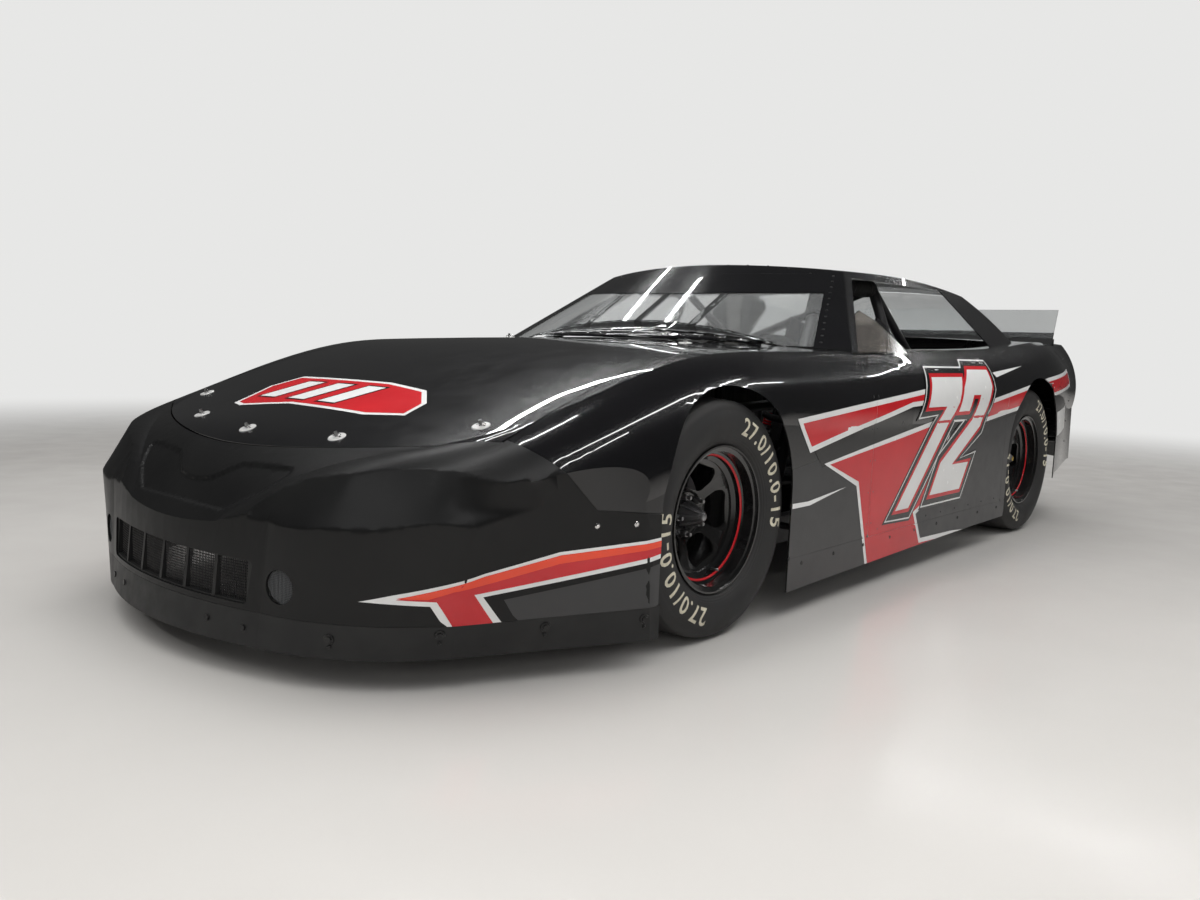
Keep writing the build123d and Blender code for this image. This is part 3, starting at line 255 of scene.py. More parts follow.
PLATED = plain_grain("bright_plated_steel", (0.60, 0.60, 0.60), (0.78, 0.77, 0.75), (0.16, 0.30),
                     metallic=1.0, tone_scale=60.0, grain=600.0, depth=0.00003)
PIN_PLATE = plain_grain("satin_aluminium_plate", (0.55, 0.55, 0.54), (0.72, 0.71, 0.69), (0.32, 0.46),
                        metallic=0.35, tone_scale=80.0, grain=600.0, depth=0.00003)
DARK_BOLT = plain_grain("blackened_steel", (0.020, 0.020, 0.021), (0.042, 0.041, 0.040), (0.30, 0.48),
                        metallic=0.6, tone_scale=60.0, grain=700.0, depth=0.00005)
GRIP = plain_grain("black_suede", (0.013, 0.013, 0.014), (0.028, 0.027, 0.027), (0.80, 0.95),
                   tone_scale=28.0, grain=900.0, depth=0.00012, specular=0.2)
COVER_CLOTH = plain_grain("black_seat_cloth", (0.015, 0.015, 0.016), (0.030, 0.030, 0.031), (0.75, 0.92),
                          tone_scale=20.0, grain=700.0, depth=0.00012, specular=0.25)
FOAM = plain_grain("black_bar_foam", (0.012, 0.012, 0.012), (0.022, 0.022, 0.022), (0.62, 0.80),
                   tone_scale=18.0, grain=240.0, depth=0.0002, specular=0.3)
RED_VINYL = plain_grain("red_vinyl", (0.50, 0.010, 0.016), (0.60, 0.016, 0.022), (0.16, 0.24),
                        tone_scale=4.0, coat=0.25, coat_roughness=0.08, grain=45.0, depth=0.00003)
ORANGE_VINYL = plain_grain("orange_red_vinyl", (0.76, 0.052, 0.018), (0.86, 0.070, 0.024), (0.16, 0.24),
                           tone_scale=4.0, coat=0.25, coat_roughness=0.08, grain=45.0, depth=0.00003)
WHITE_VINYL = plain_grain("white_vinyl", (0.74, 0.74, 0.73), (0.82, 0.82, 0.81), (0.20, 0.28),
                          tone_scale=4.0, coat=0.2, coat_roughness=0.08, grain=45.0, depth=0.00003)
CHARCOAL_VINYL = plain_grain("charcoal_vinyl", (0.030, 0.030, 0.031), (0.040, 0.040, 0.041), (0.28, 0.38),
                             tone_scale=3.0, coat=0.1, coat_roughness=0.15, grain=60.0, depth=0.00003)
BLACK_VINYL = plain_grain("black_vinyl", (0.006, 0.006, 0.0065), (0.010, 0.010, 0.010), (0.18, 0.28),
                          tone_scale=4.0, coat=0.3, coat_roughness=0.06, grain=45.0, depth=0.00003)
CREAM_INK = plain_grain("cream_tyre_marking", (0.52, 0.48, 0.36), (0.72, 0.68, 0.55), (0.55, 0.75),
                        tone_scale=60.0, grain=700.0, depth=0.0001)
GOLD_CAP = plain_grain("gold_anodised_cap", (0.62, 0.42, 0.06), (0.78, 0.55, 0.10), (0.22, 0.36),
                       metallic=0.8, tone_scale=60.0, grain=500.0, depth=0.00003)
GAUGE_FACE = plain_grain("gauge_face", (0.60, 0.60, 0.58), (0.74, 0.74, 0.72), (0.30, 0.42),
                         tone_scale=40.0, grain=400.0, depth=0.00002)
CLEAR = clear_plastic("clear_polycarbonate", (0.94, 0.96, 0.96))
SMOKED = clear_plastic("smoked_polycarbonate", (0.34, 0.31, 0.28), (0.04, 0.12))
BLACK_WEB = webbing("black_webbing", (0.010, 0.010, 0.011), (0.024, 0.024, 0.025))

NODE_FINISHES = {
    "body_stays": CHASSIS_BLACK, "coilovers": STEEL, "cowl_panel": GLOSS_BLACK, "dashboard": BLACK_SHEET,
    "deck_filler": GLOSS_BLACK, "deck_lid": GLOSS_BLACK, "door_panels": GLOSS_BLACK, "driveshaft": STEEL,
    "engine_block": CAST_METAL, "exhaust": STEEL, "firewall": SHEET_METAL, "floor_pan": SHEET_METAL,
    "frame_rails": CHASSIS_GREY, "front_arms": CHASSIS_GREY, "front_fenders": GLOSS_BLACK,
    "fuel_cell": BLACK_SHEET, "gearbox": CAST_METAL, "grille_screen": MATT_SKIRT, "hood": GLOSS_BLACK,
    "interior_deck": BLACK_SHEET, "left_knuckle": CAST_METAL, "right_knuckle": CAST_METAL,
    "nose_cover": SATIN_NOSE, "nose_valance": MATT_SKIRT, "quarter_panels": GLOSS_BLACK,
    "rack_housing": CAST_METAL, "radiator": BLACK_SHEET, "rear_axle": CHASSIS_BLACK,
    "rear_bumper_cover": GLOSS_BLACK, "rear_links": CHASSIS_GREY, "rear_window": CLEAR,
    "rocker_panels": MATT_SKIRT, "roll_cage": CHASSIS_BLACK, "roof_panel": GLOSS_BLACK,
    "sail_panels": GLOSS_BLACK, "seat": BLACK_SHEET, "spoiler_blade": CLEAR, "spoiler_foot": MATT_SKIRT,
    "steering_column": STEEL, "steering_rack": STEEL, "steering_wheel": GRIP, "wind_deflector": SMOKED,
    "windshield": CLEAR, "windshield_straps": BLACK_SHEET,
}
for corner, (axle_x, side) in CORNERS.items():
    middle = (axle_x, 0, WHEEL_Z)
    NODE_FINISHES[corner + "_tyre"] = tyre_rubber(corner + "_rubber", middle)
    NODE_FINISHES[corner + "_wheel"] = WHEEL_BLACK
    NODE_FINISHES[corner + "_hub"] = turned_iron(corner + "_turned_iron", middle)
for name, obj in nodes.items():
    obj.data.materials.clear()
    obj.data.materials.append(NODE_FINISHES[name])


# Mesh helpers


def stood(name, data):
    """A new object in the scene."""
    obj = bpy.data.objects.new(name, data)
    bpy.context.scene.collection.objects.link(obj)
    return obj


def worked_out(obj):
    """A plain mesh of an object with its modifiers applied, or of a text."""
    return bpy.data.meshes.new_from_object(obj.evaluated_get(bpy.context.evaluated_depsgraph_get()))


def dressed(obj, body, smooth=True, sharp=None):
    """Shade an object and ride it on one of the car's bodies."""
    for polygon in obj.data.polygons:
        polygon.use_smooth = smooth
    if sharp:
        obj.data.set_sharp_from_angle(angle=radians(sharp))
    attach(obj, body)
    return obj


def new_piece(name, points, faces, finish, body="chassis", slot=None, smooth=True):
    """A finished mesh in the car's frame."""
    mesh = bpy.data.meshes.new(name)
    mesh.from_pydata([tuple(p) for p in points], [], faces)
    mesh.materials.append(finish)
    return dressed(stood(name, mesh), body, smooth)


def faced_outwards(obj):
    """Turn every face of a closed mesh outwards."""
    made = bmesh.new()
    made.from_mesh(obj.data)
    bmesh.ops.recalc_face_normals(made, faces=made.faces[:])
    made.to_mesh(obj.data)
    made.free()
    return obj


def gather(parts):
    """Several (points, faces) made one."""
    points, faces = [], []
    for some_points, some_faces in parts:
        base = len(points)
        points.extend(some_points)
        faces.extend([tuple(base + i for i in face) for face in some_faces])
    return points, faces


def across(direction):
    """Two unit vectors square to a direction."""
    direction = direction.normalized()
    first = direction.orthogonal().normalized()
    return first, direction.cross(first)


def spoke(angle):
    """In a wheel's plane: the direction outwards at an angle, and the one square to it."""
    return Vector((cos(angle), 0, sin(angle))), Vector((-sin(angle), 0, cos(angle)))


def prism(first, second):
    """A closed body between two like outlines."""
    count = len(first)
    faces = [tuple(range(count)), tuple(reversed(range(count, 2 * count)))]
    faces += [(i, (i + 1) % count, count + (i + 1) % count, count + i) for i in range(count)]
    return first + second, faces


def turned(profile, centre, direction, steps=40, closed=False):
    """A profile of (along, radius) points turned about an axis."""
    centre, direction = Vector(centre), Vector(direction).normalized()
    first, second = across(direction)
    points, faces = [], []
    for step in range(steps):
        angle = tau * step / steps
        out = first * cos(angle) + second * sin(angle)
        points.extend(centre + direction * along + out * max(radius, 1e-5) for along, radius in profile)
    size = len(profile)
    for step in range(steps):
        here, there = step * size, ((step + 1) % steps) * size
        for k in range(size if closed else size - 1):
            nxt = (k + 1) % size
            faces.append((here + k, there + k, there + nxt, here + nxt))
    return points, faces


def tube(route, radius, sides=12):
    """A round tube through points, closed at both ends."""
    route = [Vector(p) for p in route]
    points, faces = [], []
    ahead = (route[1] - route[0]).normalized()
    first = ahead.orthogonal().normalized()
    for index, spot in enumerate(route):
        before = route[max(index - 1, 0)]
        after = route[min(index + 1, len(route) - 1)]
        ahead = (after - before).normalized()
        first = (first - ahead * first.dot(ahead)).normalized()
        second = ahead.cross(first)
        here = radius[index] if isinstance(radius, (list, tuple)) else radius
        angles = [tau * k / sides for k in range(sides)]
        points.extend(spot + (first * cos(angle) + second * sin(angle)) * here for angle in angles)
    for ring in range(len(route) - 1):
        for k in range(sides):
            nxt = (k + 1) % sides
            here, there = ring * sides, (ring + 1) * sides
            faces.append((here + k, here + nxt, there + nxt, there + k))
    last = (len(route) - 1) * sides
    faces += [tuple(reversed(range(sides))), tuple(last + k for k in range(sides))]
    return points, faces


def slab(low, high, edge, segments):
    """A block with rounded edges."""
    block = bmesh.new()
    bmesh.ops.create_cube(block, size=1.0)
    low, high = Vector(low), Vector(high)
    for vert in block.verts:
        vert.co = Vector(low[i] + (high[i] - low[i]) * (vert.co[i] + 0.5) for i in range(3))
    bmesh.ops.bevel(block, geom=block.edges[:], offset=edge, segments=segments, affect="EDGES", profile=0.5)
    block.verts.index_update()
    result = [v.co.copy() for v in block.verts], [tuple(v.index for v in f.verts) for f in block.faces]
    block.free()
    return result


def strap(route, width_axis, width, thick=0.003):
    """A flat strap through points, as wide as its width along the width axis."""
    route = [Vector(p) for p in route]
    across_strap = Vector(width_axis).normalized() * width / 2
    points, faces = [], []
    for index, spot in enumerate(route):
        ahead = route[min(index + 1, len(route) - 1)] - route[max(index - 1, 0)]
        lift = ahead.cross(across_strap).normalized() * thick / 2
        points.extend([spot - across_strap - lift, spot + across_strap - lift,
                       spot + across_strap + lift, spot - across_strap + lift])
    for ring in range(len(route) - 1):
        for k in range(4):
            nxt = (k + 1) % 4
            faces.append((ring * 4 + k, ring * 4 + nxt, ring * 4 + 4 + nxt, ring * 4 + 4 + k))
    last = (len(route) - 1) * 4
    faces += [(3, 2, 1, 0), (last, last + 1, last + 2, last + 3)]
    return points, faces


# Surfaces of the CAD nodes, for laying film and setting fasteners
surfaces = {}

# Views: the two axes drawn, how far out on the third a look starts, and which way it goes
VIEWS = {
    "left": ((0, 2), 3, (0, -1, 0)), "right": ((0, 2), -3, (0, 1, 0)), "top": ((0, 1), 3, (0, 0, -1)),
    "front": ((1, 2), 4, (-1, 0, 0)), "rear": ((1, 2), -4, (1, 0, 0)),
}
GLANCING = 0.12
MIDDLE_STRIP = 0.3


def surface(node):
    if node not in surfaces:
        mesh = nodes[node].data
        tree = BVHTree.FromPolygons([v.co for v in mesh.vertices], [tuple(p.vertices) for p in mesh.polygons])
        surfaces[node] = (tree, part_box(node))
    return surfaces[node]


def strike(node, view, u, v):
    """Where a look along one of the views meets a node: place and outward direction, or nothing."""
    (first, second), start, way = VIEWS[view]
    origin, ray = Vector((start, start, start)), Vector(way)
    origin[first], origin[second] = u, v
    spot, normal, _, _ = surface(node)[0].ray_cast(origin, ray)
    if spot is None or -normal.dot(ray) < GLANCING:
        return None
    if view in BOTH and (abs(spot.y) < MIDDLE_STRIP or spot.y * ray.y > 0):
        return None
    return spot, normal


def laid_film(outline, view, node, lift, cell):
    """The part of a film, cut to an outline, that lies on one node."""
    sheet = bmesh.new()
    sheet.faces.new([sheet.verts.new((u, v, 0)) for u, v in outline])
    sheet.normal_update()
    bmesh.ops.triangulate(sheet, faces=sheet.faces[:])
    return laid_sheet(sheet, view, node, lift, cell)


def laid_sheet(sheet, view, node, lift, cell):
    """The part of a flat sheet, drawn in a view, that lies on one node."""
    box_low, box_high = surface(node)[1]
    first, second = VIEWS[view][0]
    us, vs = [v.co.x for v in sheet.verts], [v.co.y for v in sheet.verts]
    beside = max(us) < box_low[first] or min(us) > box_high[first]
    if beside or max(vs) < box_low[second] or min(vs) > box_high[second]:
        sheet.free()
        return [], []
    for axis, values, drawn in ((0, us, first), (1, vs, second)):
        low, high = box_low[drawn], box_high[drawn]
        across_sheet = [0, 0, 0]
        across_sheet[axis] = 1
        spot = max(min(values), low - cell) + cell * 0.5
        while spot < min(max(values), high + cell):
            where = [0, 0, 0]
            where[axis] = spot
            geometry = sheet.verts[:] + sheet.edges[:] + sheet.faces[:]
            bmesh.ops.bisect_plane(sheet, geom=geometry, plane_co=where, plane_no=across_sheet)
            spot += cell
    bmesh.ops.triangulate(sheet, faces=sheet.faces[:])
    sheet.verts.index_update()
    hits = {v.index: strike(node, view, v.co.x, v.co.y) for v in sheet.verts}
    places = {}
    for vert in sheet.verts:
        found = hits[vert.index]
        if found is None:
            best = None
            for edge in vert.link_edges:
                other = edge.other_vert(vert)
                if hits[other.index] is not None and (best is None or edge.calc_length() < best[0]):
                    best = (edge.calc_length(), other)
            if best is None:
                continue
            inside, outside = best[1].co.copy(), vert.co.copy()
            found = hits[best[1].index]
            for _ in range(11):
                middle = (inside + outside) / 2
                trial = strike(node, view, middle.x, middle.y)
                if trial is None or (trial[0] - found[0]).length > 0.05:
                    outside = middle
                else:
                    inside, found = middle, trial
        spot = found[0] + found[1] * lift
        spot.y = max(-WIDEST, min(WIDEST, spot.y))
        places[vert.index] = (spot, found[1])
    points, faces, numbers = [], [], {}
    for face in sheet.faces:
        if not all(v.index in places for v in face.verts):
            continue
        if all(hits[v.index] is None for v in face.verts):
            continue
        spots = [places[v.index][0] for v in face.verts]
        if max((spots[i] - spots[i - 1]).length for i in range(3)) > cell * 6:
            continue
        turn = (spots[1] - spots[0]).cross(spots[2] - spots[0])
        if turn.length < 1e-10:
            continue
        order = [v.index for v in face.verts]
        if turn.dot(places[order[0]][1]) < 0:
            order.reverse()
        for index in order:
            if index not in numbers:
                numbers[index] = len(points)
                points.append(places[index][0])
        faces.append(tuple(numbers[i] for i in order))
    sheet.free()
    return points, faces


def film_parts(outline, view, on, lift, cell=FILM_CELL):
    """What lies of a film on each of the named nodes."""
    parts = [laid_film(outline, view, node, lift, cell) for node in on]
    return [part for part in parts if part[1]]


def lay(name, outlines, views, on, finish, body="chassis", layer=0, cell=FILM_CELL):
    """Vinyl film cut to outlines and laid on the named nodes, as one piece."""
    parts = []
    for view in views:
        for outline in outlines:
            parts += film_parts(outline, view, on, FILM + LAYER * layer, cell)
    if parts:
        new_piece(name, *gather(parts), finish, body)


def grown(outline, distance):
    """An outline moved outwards by a distance, its corners kept sharp."""
    pairs = [(outline[i - 1], outline[i]) for i in range(len(outline))]
    area = sum(before[0] * here[1] - here[0] * before[1] for before, here in pairs)
    turn = 1 if area > 0 else -1
    result = []
    for index, here in enumerate(outline):
        before, after = outline[index - 1], outline[(index + 1) % len(outline)]
        a = Vector((here[0] - before[0], here[1] - before[1])).normalized()
        b = Vector((after[0] - here[0], after[1] - here[1])).normalized()
        normal_a, normal_b = Vector((a.y, -a.x)) * turn, Vector((b.y, -b.x)) * turn
        bisector = normal_a + normal_b
        bisector = bisector.normalized() if bisector.length > 1e-6 else normal_a
        reach = distance / max(bisector.dot(normal_a), 0.45)
        result.append((here[0] + bisector.x * reach, here[1] + bisector.y * reach))
    return result


# Geometry-node trees: heads of fasteners, and wires along a mesh's edges


def start_tree(name, sizes):
    """An empty geometry tree with named inputs for its sizes and its material."""
    tree = bpy.data.node_groups.new(name, "GeometryNodeTree")
    tree.interface.new_socket("Geometry", in_out="INPUT", socket_type="NodeSocketGeometry")
    for label, value in sizes.items():
        kind = "NodeSocketInt" if isinstance(value, int) else "NodeSocketFloat"
        tree.interface.new_socket(label, in_out="INPUT", socket_type=kind).default_value = value
    tree.interface.new_socket("Finish", in_out="INPUT", socket_type="NodeSocketMaterial")
    tree.interface.new_socket("Geometry", in_out="OUTPUT", socket_type="NodeSocketGeometry")
    return tree, tree.nodes.new("NodeGroupInput").outputs


def close_tree(tree, source, entry):
    """End a tree in Realize Instances and Set Material."""
    real = wire(tree, "GeometryNodeRealizeInstances", {"Geometry": source})
    painted = wire(tree, "GeometryNodeSetMaterial", {
        "Geometry": real.outputs["Geometry"], "Material": entry["Finish"],
    })
    wire(tree, "NodeGroupOutput", {"Geometry": painted.outputs["Geometry"]})


def head_tree():
    """A fastener head stood on every point, facing along the point's aim."""
    tree, entry = start_tree("fastener_heads", {"Radius": 0.006, "Height": 0.003, "Crown": 0.6, "Sides": 12})
    head = wire(tree, "GeometryNodeMeshCone", {
        "Vertices": entry["Sides"], "Radius Bottom": entry["Radius"], "Depth": entry["Height"],
        "Radius Top": reckon(tree, "MULTIPLY", entry["Radius"], entry["Crown"]),
    })
    aim = wire(tree, "GeometryNodeInputNamedAttribute", {"Name": "aim"}, data_type="FLOAT_VECTOR")
    turn = wire(tree, "FunctionNodeAlignEulerToVector", {"Vector": aim.outputs["Attribute"]}, axis="Z")
    stand = wire(tree, "GeometryNodeInstanceOnPoints", {
        "Points": entry["Geometry"], "Instance": head.outputs["Mesh"], "Rotation": turn.outputs["Rotation"],
    })
    close_tree(tree, stand.outputs["Instances"], entry)
    return tree


def wire_tree():
    """A round wire along every edge of a mesh."""
    tree, entry = start_tree("wires_on_edges", {"Radius": 0.0008, "Sides": 4})
    line = wire(tree, "GeometryNodeMeshToCurve", {"Mesh": entry["Geometry"]})
    ring = wire(tree, "GeometryNodeCurvePrimitiveCircle", {
        "Resolution": entry["Sides"], "Radius": entry["Radius"],
    })
    body = wire(tree, "GeometryNodeCurveToMesh", {
        "Curve": line.outputs["Curve"], "Profile Curve": ring.outputs["Curve"], "Fill Caps": True,
    })
    close_tree(tree, body.outputs["Mesh"], entry)
    return tree


HEADS = head_tree()
WIRES = wire_tree()


def grow_tree(name, mesh, tree, values, finish, body="chassis", smooth=True):
    """Run a geometry tree over a mesh and keep the result as a plain mesh."""
    carrier = stood(name + "_carrier", mesh)
    modifier = carrier.modifiers.new("tree", "NODES")
    modifier.node_group = tree
    values = {**values, "Finish": finish}
    for item in tree.interface.items_tree:
        if item.item_type == "SOCKET" and item.in_out == "INPUT" and item.name in values:
            modifier[item.identifier] = values[item.name]
    carrier.update_tag()
    made = worked_out(carrier)
    bpy.data.objects.remove(carrier)
    made.name = name
    if not made.materials:
        made.materials.append(finish)
    return dressed(stood(name, made), body, smooth)


def fasten(name, spots, finish, body="chassis", radius=0.006, height=0.003, crown=0.6, sides=12):
    """Fastener heads on (place, direction) spots."""
    mesh = bpy.data.meshes.new(name + "_spots")
    mesh.from_pydata([tuple(spot) for spot, aim in spots], [], [])
    aims = mesh.attributes.new("aim", "FLOAT_VECTOR", "POINT")
    aims.data.foreach_set("vector", [c for spot, aim in spots for c in aim])
    values = {"Radius": radius, "Height": height, "Crown": crown, "Sides": sides}
    grow_tree(name, mesh, HEADS, values, finish, body, False)


def row(node, view, points, lift=0.0):
    """Spots on a node seen in a view."""
    found = [strike(node, view, u, v) for u, v in points]
    return [(spot + normal * lift, normal) for spot, normal in (f for f in found if f is not None)]


def both_rows(node, points, lift=0.0):
    """The same spots on the left and on the right side."""
    return [spot for side in BOTH for spot in row(node, side, points, lift)]


def raised(spots, lift):
    """Spots moved out along their own directions."""
    return [(spot + normal * lift, normal) for spot, normal in spots]


def from_axle(outline):
    return [(at(x), z) for x, z in outline]


def spaced(start, end, count):
    return [tuple(a + (b - a) * k / (count - 1) for a, b in zip(start, end)) for k in range(count)]


def rounded(outline, radius, steps=6):
    """An outline whose corners are arcs."""
    result = []
    for index, here in enumerate(outline):
        here = Vector(here)
        before = (Vector(outline[index - 1]) - here).normalized()
        after = (Vector(outline[(index + 1) % len(outline)]) - here).normalized()
        half = before.angle(after) / 2
        reach = radius / (sin(half) / cos(half))
        centre = here + (before + after).normalized() * radius / sin(half)
        start, end = here + before * reach - centre, here + after * reach - centre
        turn = atan2(start.x * end.y - start.y * end.x, start.dot(end))
        for k in range(steps + 1):
            co, si = cos(turn * k / steps), sin(turn * k / steps)
            result.append(centre + Vector((start.x * co - start.y * si, start.x * si + start.y * co)))
    return result


# Nose cover: the twin recess above the grille and the ledge round each corner, pressed into its copy
NOSE_SKIN = 0.005
RECESS_DEPTH = 0.006
RECESS_EDGE = 0.007
RECESS_ROUND = 0.013
RECESS = [(0.0, 0.449), (0.082, 0.458), (0.170, 0.501), (0.404, 0.511), (0.325, 0.443), (0.222, 0.391)]
PRESSED_LOW = 0.380
PRESSED_HIGH = 0.550
PRESSED_BACK = at(0.690)
RECESS_HALF = 0.41
RECESS_BACK = at(0.95)
OWN_SKIN = 0.0035
LEDGE_REACH = 0.16
LEDGE_SMOOTHING = 5
# Pitch and number of the slices: across the recess, beyond it, upwards and forwards
FINE_PITCH, FINE_SLICES = 0.0062, 68
WIDE_START, WIDE_PITCH, WIDE_SLICES = 0.424, 0.0105, 52
RISE_PITCH, RISE_SLICES = 0.0065, 25
LONG_PITCH, LONG_SLICES = 0.0125, 24
# Ledge stations: station and width of the wall, outward angle, then lip, crease and top, each outward and up
LEDGE = [
    (1.112, 0.352, 14, 0.006, 0.391, -0.003, 0.400, -0.010, 0.420),
    (1.099, 0.445, 18, 0.006, 0.384, -0.010, 0.413, -0.055, 0.478),
    (1.063, 0.602, 25, 0.006, 0.387, -0.020, 0.427, -0.075, 0.519),
    (1.005, 0.715, 34, 0.006, 0.390, -0.020, 0.436, -0.075, 0.538),
    (0.937, 0.811, 44, 0.006, 0.403, -0.020, 0.446, -0.070, 0.545),
    (0.870, 0.860, 56, 0.006, 0.409, -0.016, 0.450, -0.045, 0.543),
    (0.789, 0.901, 64, 0.006, 0.413, -0.010, 0.447, -0.002, 0.535),
    (0.700, 0.930, 71, 0.006, 0.420, -0.002, 0.450, 0.003, 0.510),
]


def inside_by(outline, u, v):
    """How far a point lies inside an outline, negative outside it."""
    within, nearest = False, 9.0
    for index, (u1, v1) in enumerate(outline):
        u2, v2 = outline[index - 1]
        if (v1 > v) != (v2 > v) and u < (u2 - u1) * (v - v1) / (v2 - v1) + u1:
            within = not within
        span = (u2 - u1) ** 2 + (v2 - v1) ** 2
        share = max(0.0, min(1.0, ((u - u1) * (u2 - u1) + (v - v1) * (v2 - v1)) / span))
        nearest = min(nearest, hypot(u - u1 - share * (u2 - u1), v - v1 - share * (v2 - v1)))
    return nearest if within else -nearest


def between(before, first, second, after, share):
    """A smooth curve from the second of four values to the third."""
    slope = second - before
    bend = 2 * before - 5 * first + 4 * second - after
    twist = 3 * first - before - 3 * second + after
    return 0.5 * (2 * first + slope * share + bend * share ** 2 + twist * share ** 3)


def ledge_cut(x, y, z):
    """How far back the ledge stands from a point outside it, and which way is out."""
    best = None
    last = len(LEDGE) - 1
    for index in range(last):
        first, second = LEDGE[index], LEDGE[index + 1]
        ax, ay, bx, by = at(first[0]), first[1], at(second[0]), second[1]
        span = (bx - ax) ** 2 + (by - ay) ** 2
        share = ((x - ax) * (bx - ax) + (y - ay) * (by - ay)) / span
        past_end = (share < -0.001 and index == 0) or (share > 1.001 and index == last - 1)
        if not past_end:
            four = (LEDGE[max(index - 1, 0)], first, second, LEDGE[min(index + 2, last)])
            here = [between(*values, max(0.0, min(1.0, share))) for values in zip(*four)]
            away = hypot(x - at(here[0]), y - here[1])
            if best is None or away < best[0]:
                best = (away, here)
    if best is None or best[0] > LEDGE_REACH:
        return None
    px, py, turn, lip, lip_z, crease, crease_z, top, top_z = best[1]
    if not lip_z <= z <= top_z:
        return None
    out = Vector((cos(radians(turn)), sin(radians(turn))))
    if z < crease_z:
        level = lip + (crease - lip) * (z - lip_z) / (crease_z - lip_z)
    else:
        level = crease + (top - crease) * (z - crease_z) / (top_z - crease_z)
    return (x - at(px)) * out.x + (y - py) * out.y - level, out


def sliced_nose():
    """A copy of the nose cover with its upper front cut into small faces."""
    nose = bmesh.new()
    nose.from_mesh(nodes["nose_cover"].data)
    bmesh.ops.remove_doubles(nose, verts=nose.verts[:], dist=1e-5)
    cuts = [((0, 0, z), (0, 0, 1)) for z in (PRESSED_LOW, PRESSED_HIGH)] + [((PRESSED_BACK, 0, 0), (1, 0, 0))]
    for place, square in cuts:
        geometry = nose.verts[:] + nose.edges[:] + nose.faces[:]
        bmesh.ops.bisect_plane(nose, geom=geometry, plane_co=place, plane_no=square)
    faces = []
    for face in nose.faces:
        centre = face.calc_center_median()
        if PRESSED_LOW < centre.z < PRESSED_HIGH and centre.x > PRESSED_BACK:
            faces.append(face)
    region = list({v for f in faces for v in f.verts}) + list({e for f in faces for e in f.edges}) + faces
    widths = [FINE_PITCH / 2 + FINE_PITCH * k for k in range(FINE_SLICES)]
    widths += [WIDE_START + WIDE_PITCH * k for k in range(WIDE_SLICES)]
    planes = [((0, side * y, 0), (0, 1, 0)) for y in widths for side in (1, -1)]
    planes += [((0, 0, PRESSED_LOW + RISE_PITCH * (k + 1)), (0, 0, 1)) for k in range(RISE_SLICES)]
    planes += [((PRESSED_BACK + LONG_PITCH * (k + 1), 0, 0), (1, 0, 0)) for k in range(LONG_SLICES)]
    for place, square in planes:
        region = bmesh.ops.bisect_plane(nose, geom=region, plane_co=place, plane_no=square)["geom"]
    bmesh.ops.triangulate(nose, faces=nose.faces[:])
    nose.normal_update()
    return nose


def carve_nose():
    """Press the recess and the ledges into both skins of the nose cover's copy."""
    nose = sliced_nose()
    skin = surface("nose_cover")[0]
    recess = rounded(RECESS + [(-y, z) for y, z in reversed(RECESS[1:])], RECESS_ROUND)
    moves, ledge = {}, []
    for vert in nose.verts:
        x, y, z = vert.co
        if not (PRESSED_LOW + 0.002 < z < PRESSED_HIGH - 0.001 and x > PRESSED_BACK + 0.002):
            continue
        side = 1 if y >= 0 else -1
        # Rearwards, inwards and a little down, from in front of the nose
        look = Vector((-1.0, -0.7 * side * min(1.0, abs(y)), -0.25)).normalized()
        met, normal, _, _ = skin.ray_cast(vert.co - look * 0.5, look)
        outer = met is None or (met - vert.co).length < OWN_SKIN
        found = ledge_cut(x, abs(y), z)
        if found:
            beyond, out = found
            beyond += 0 if outer else NOSE_SKIN
            if beyond > 0:
                moves[vert] = Vector((-out.x * beyond, -out.y * beyond * side, 0))
                ledge.append(vert)
        depth = inside_by(recess, y, z) if abs(y) < RECESS_HALF and x > RECESS_BACK else 0
        if depth > 0:
            share = min(1.0, depth / RECESS_EDGE)
            inward = -normal if met is not None else Vector((-1, 0, 0))
            step = inward * RECESS_DEPTH * share * share * (3 - 2 * share)
            moves[vert] = moves.get(vert, Vector((0, 0, 0))) + step
    for vert, move in moves.items():
        vert.co += move
    for _ in range(LEDGE_SMOOTHING):
        bmesh.ops.smooth_vert(nose, verts=ledge, factor=0.5,
                              use_axis_x=True, use_axis_y=True, use_axis_z=True)
    nose.normal_update()
    mesh = bpy.data.meshes.new("nose_moulding")
    nose.to_mesh(mesh)
    nose.free()
    mesh.materials.append(SATIN_NOSE)
    obj = dressed(stood("nose_moulding", mesh), "chassis", sharp=16)
    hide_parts("nose_cover")


carve_nose()

# Stripes and number of the flanks, in side view (station from the front axle, height)
SIDE_NODES = ["door_panels", "front_fenders", "quarter_panels", "rocker_panels", "rear_bumper_cover"]
NOSE_STRIPE = [(1.012, 0.229), (0.962, 0.249), (0.800, 0.298), (0.624, 0.336), (0.24, 0.352), (0.24, 0.305),
               (0.793, 0.238), (0.722, 0.150), (0.852, 0.150), (0.898, 0.221)]
NOSE_RED = [(0.958, 0.237), (0.800, 0.285), (0.620, 0.322), (0.24, 0.338), (0.24, 0.317), (0.815, 0.246),
            (0.742, 0.150), (0.835, 0.150), (0.888, 0.232)]
NOSE_ORANGE = [(0.958, 0.240), (0.800, 0.291), (0.620, 0.328), (0.24, 0.344), (0.24, 0.330), (0.620, 0.306),
               (0.860, 0.256), (0.905, 0.238)]
NOSE_CHARCOAL = [(0.742, 0.226), (0.24, 0.292), (0.24, 0.150), (0.690, 0.150)]
CHARCOAL_FLANK = [(-0.30, 0.470), (-0.60, 0.505), (-1.10, 0.535), (-1.90, 0.545), (-2.36, 0.590),
                  (-2.36, 0.03), (-0.30, 0.03)]
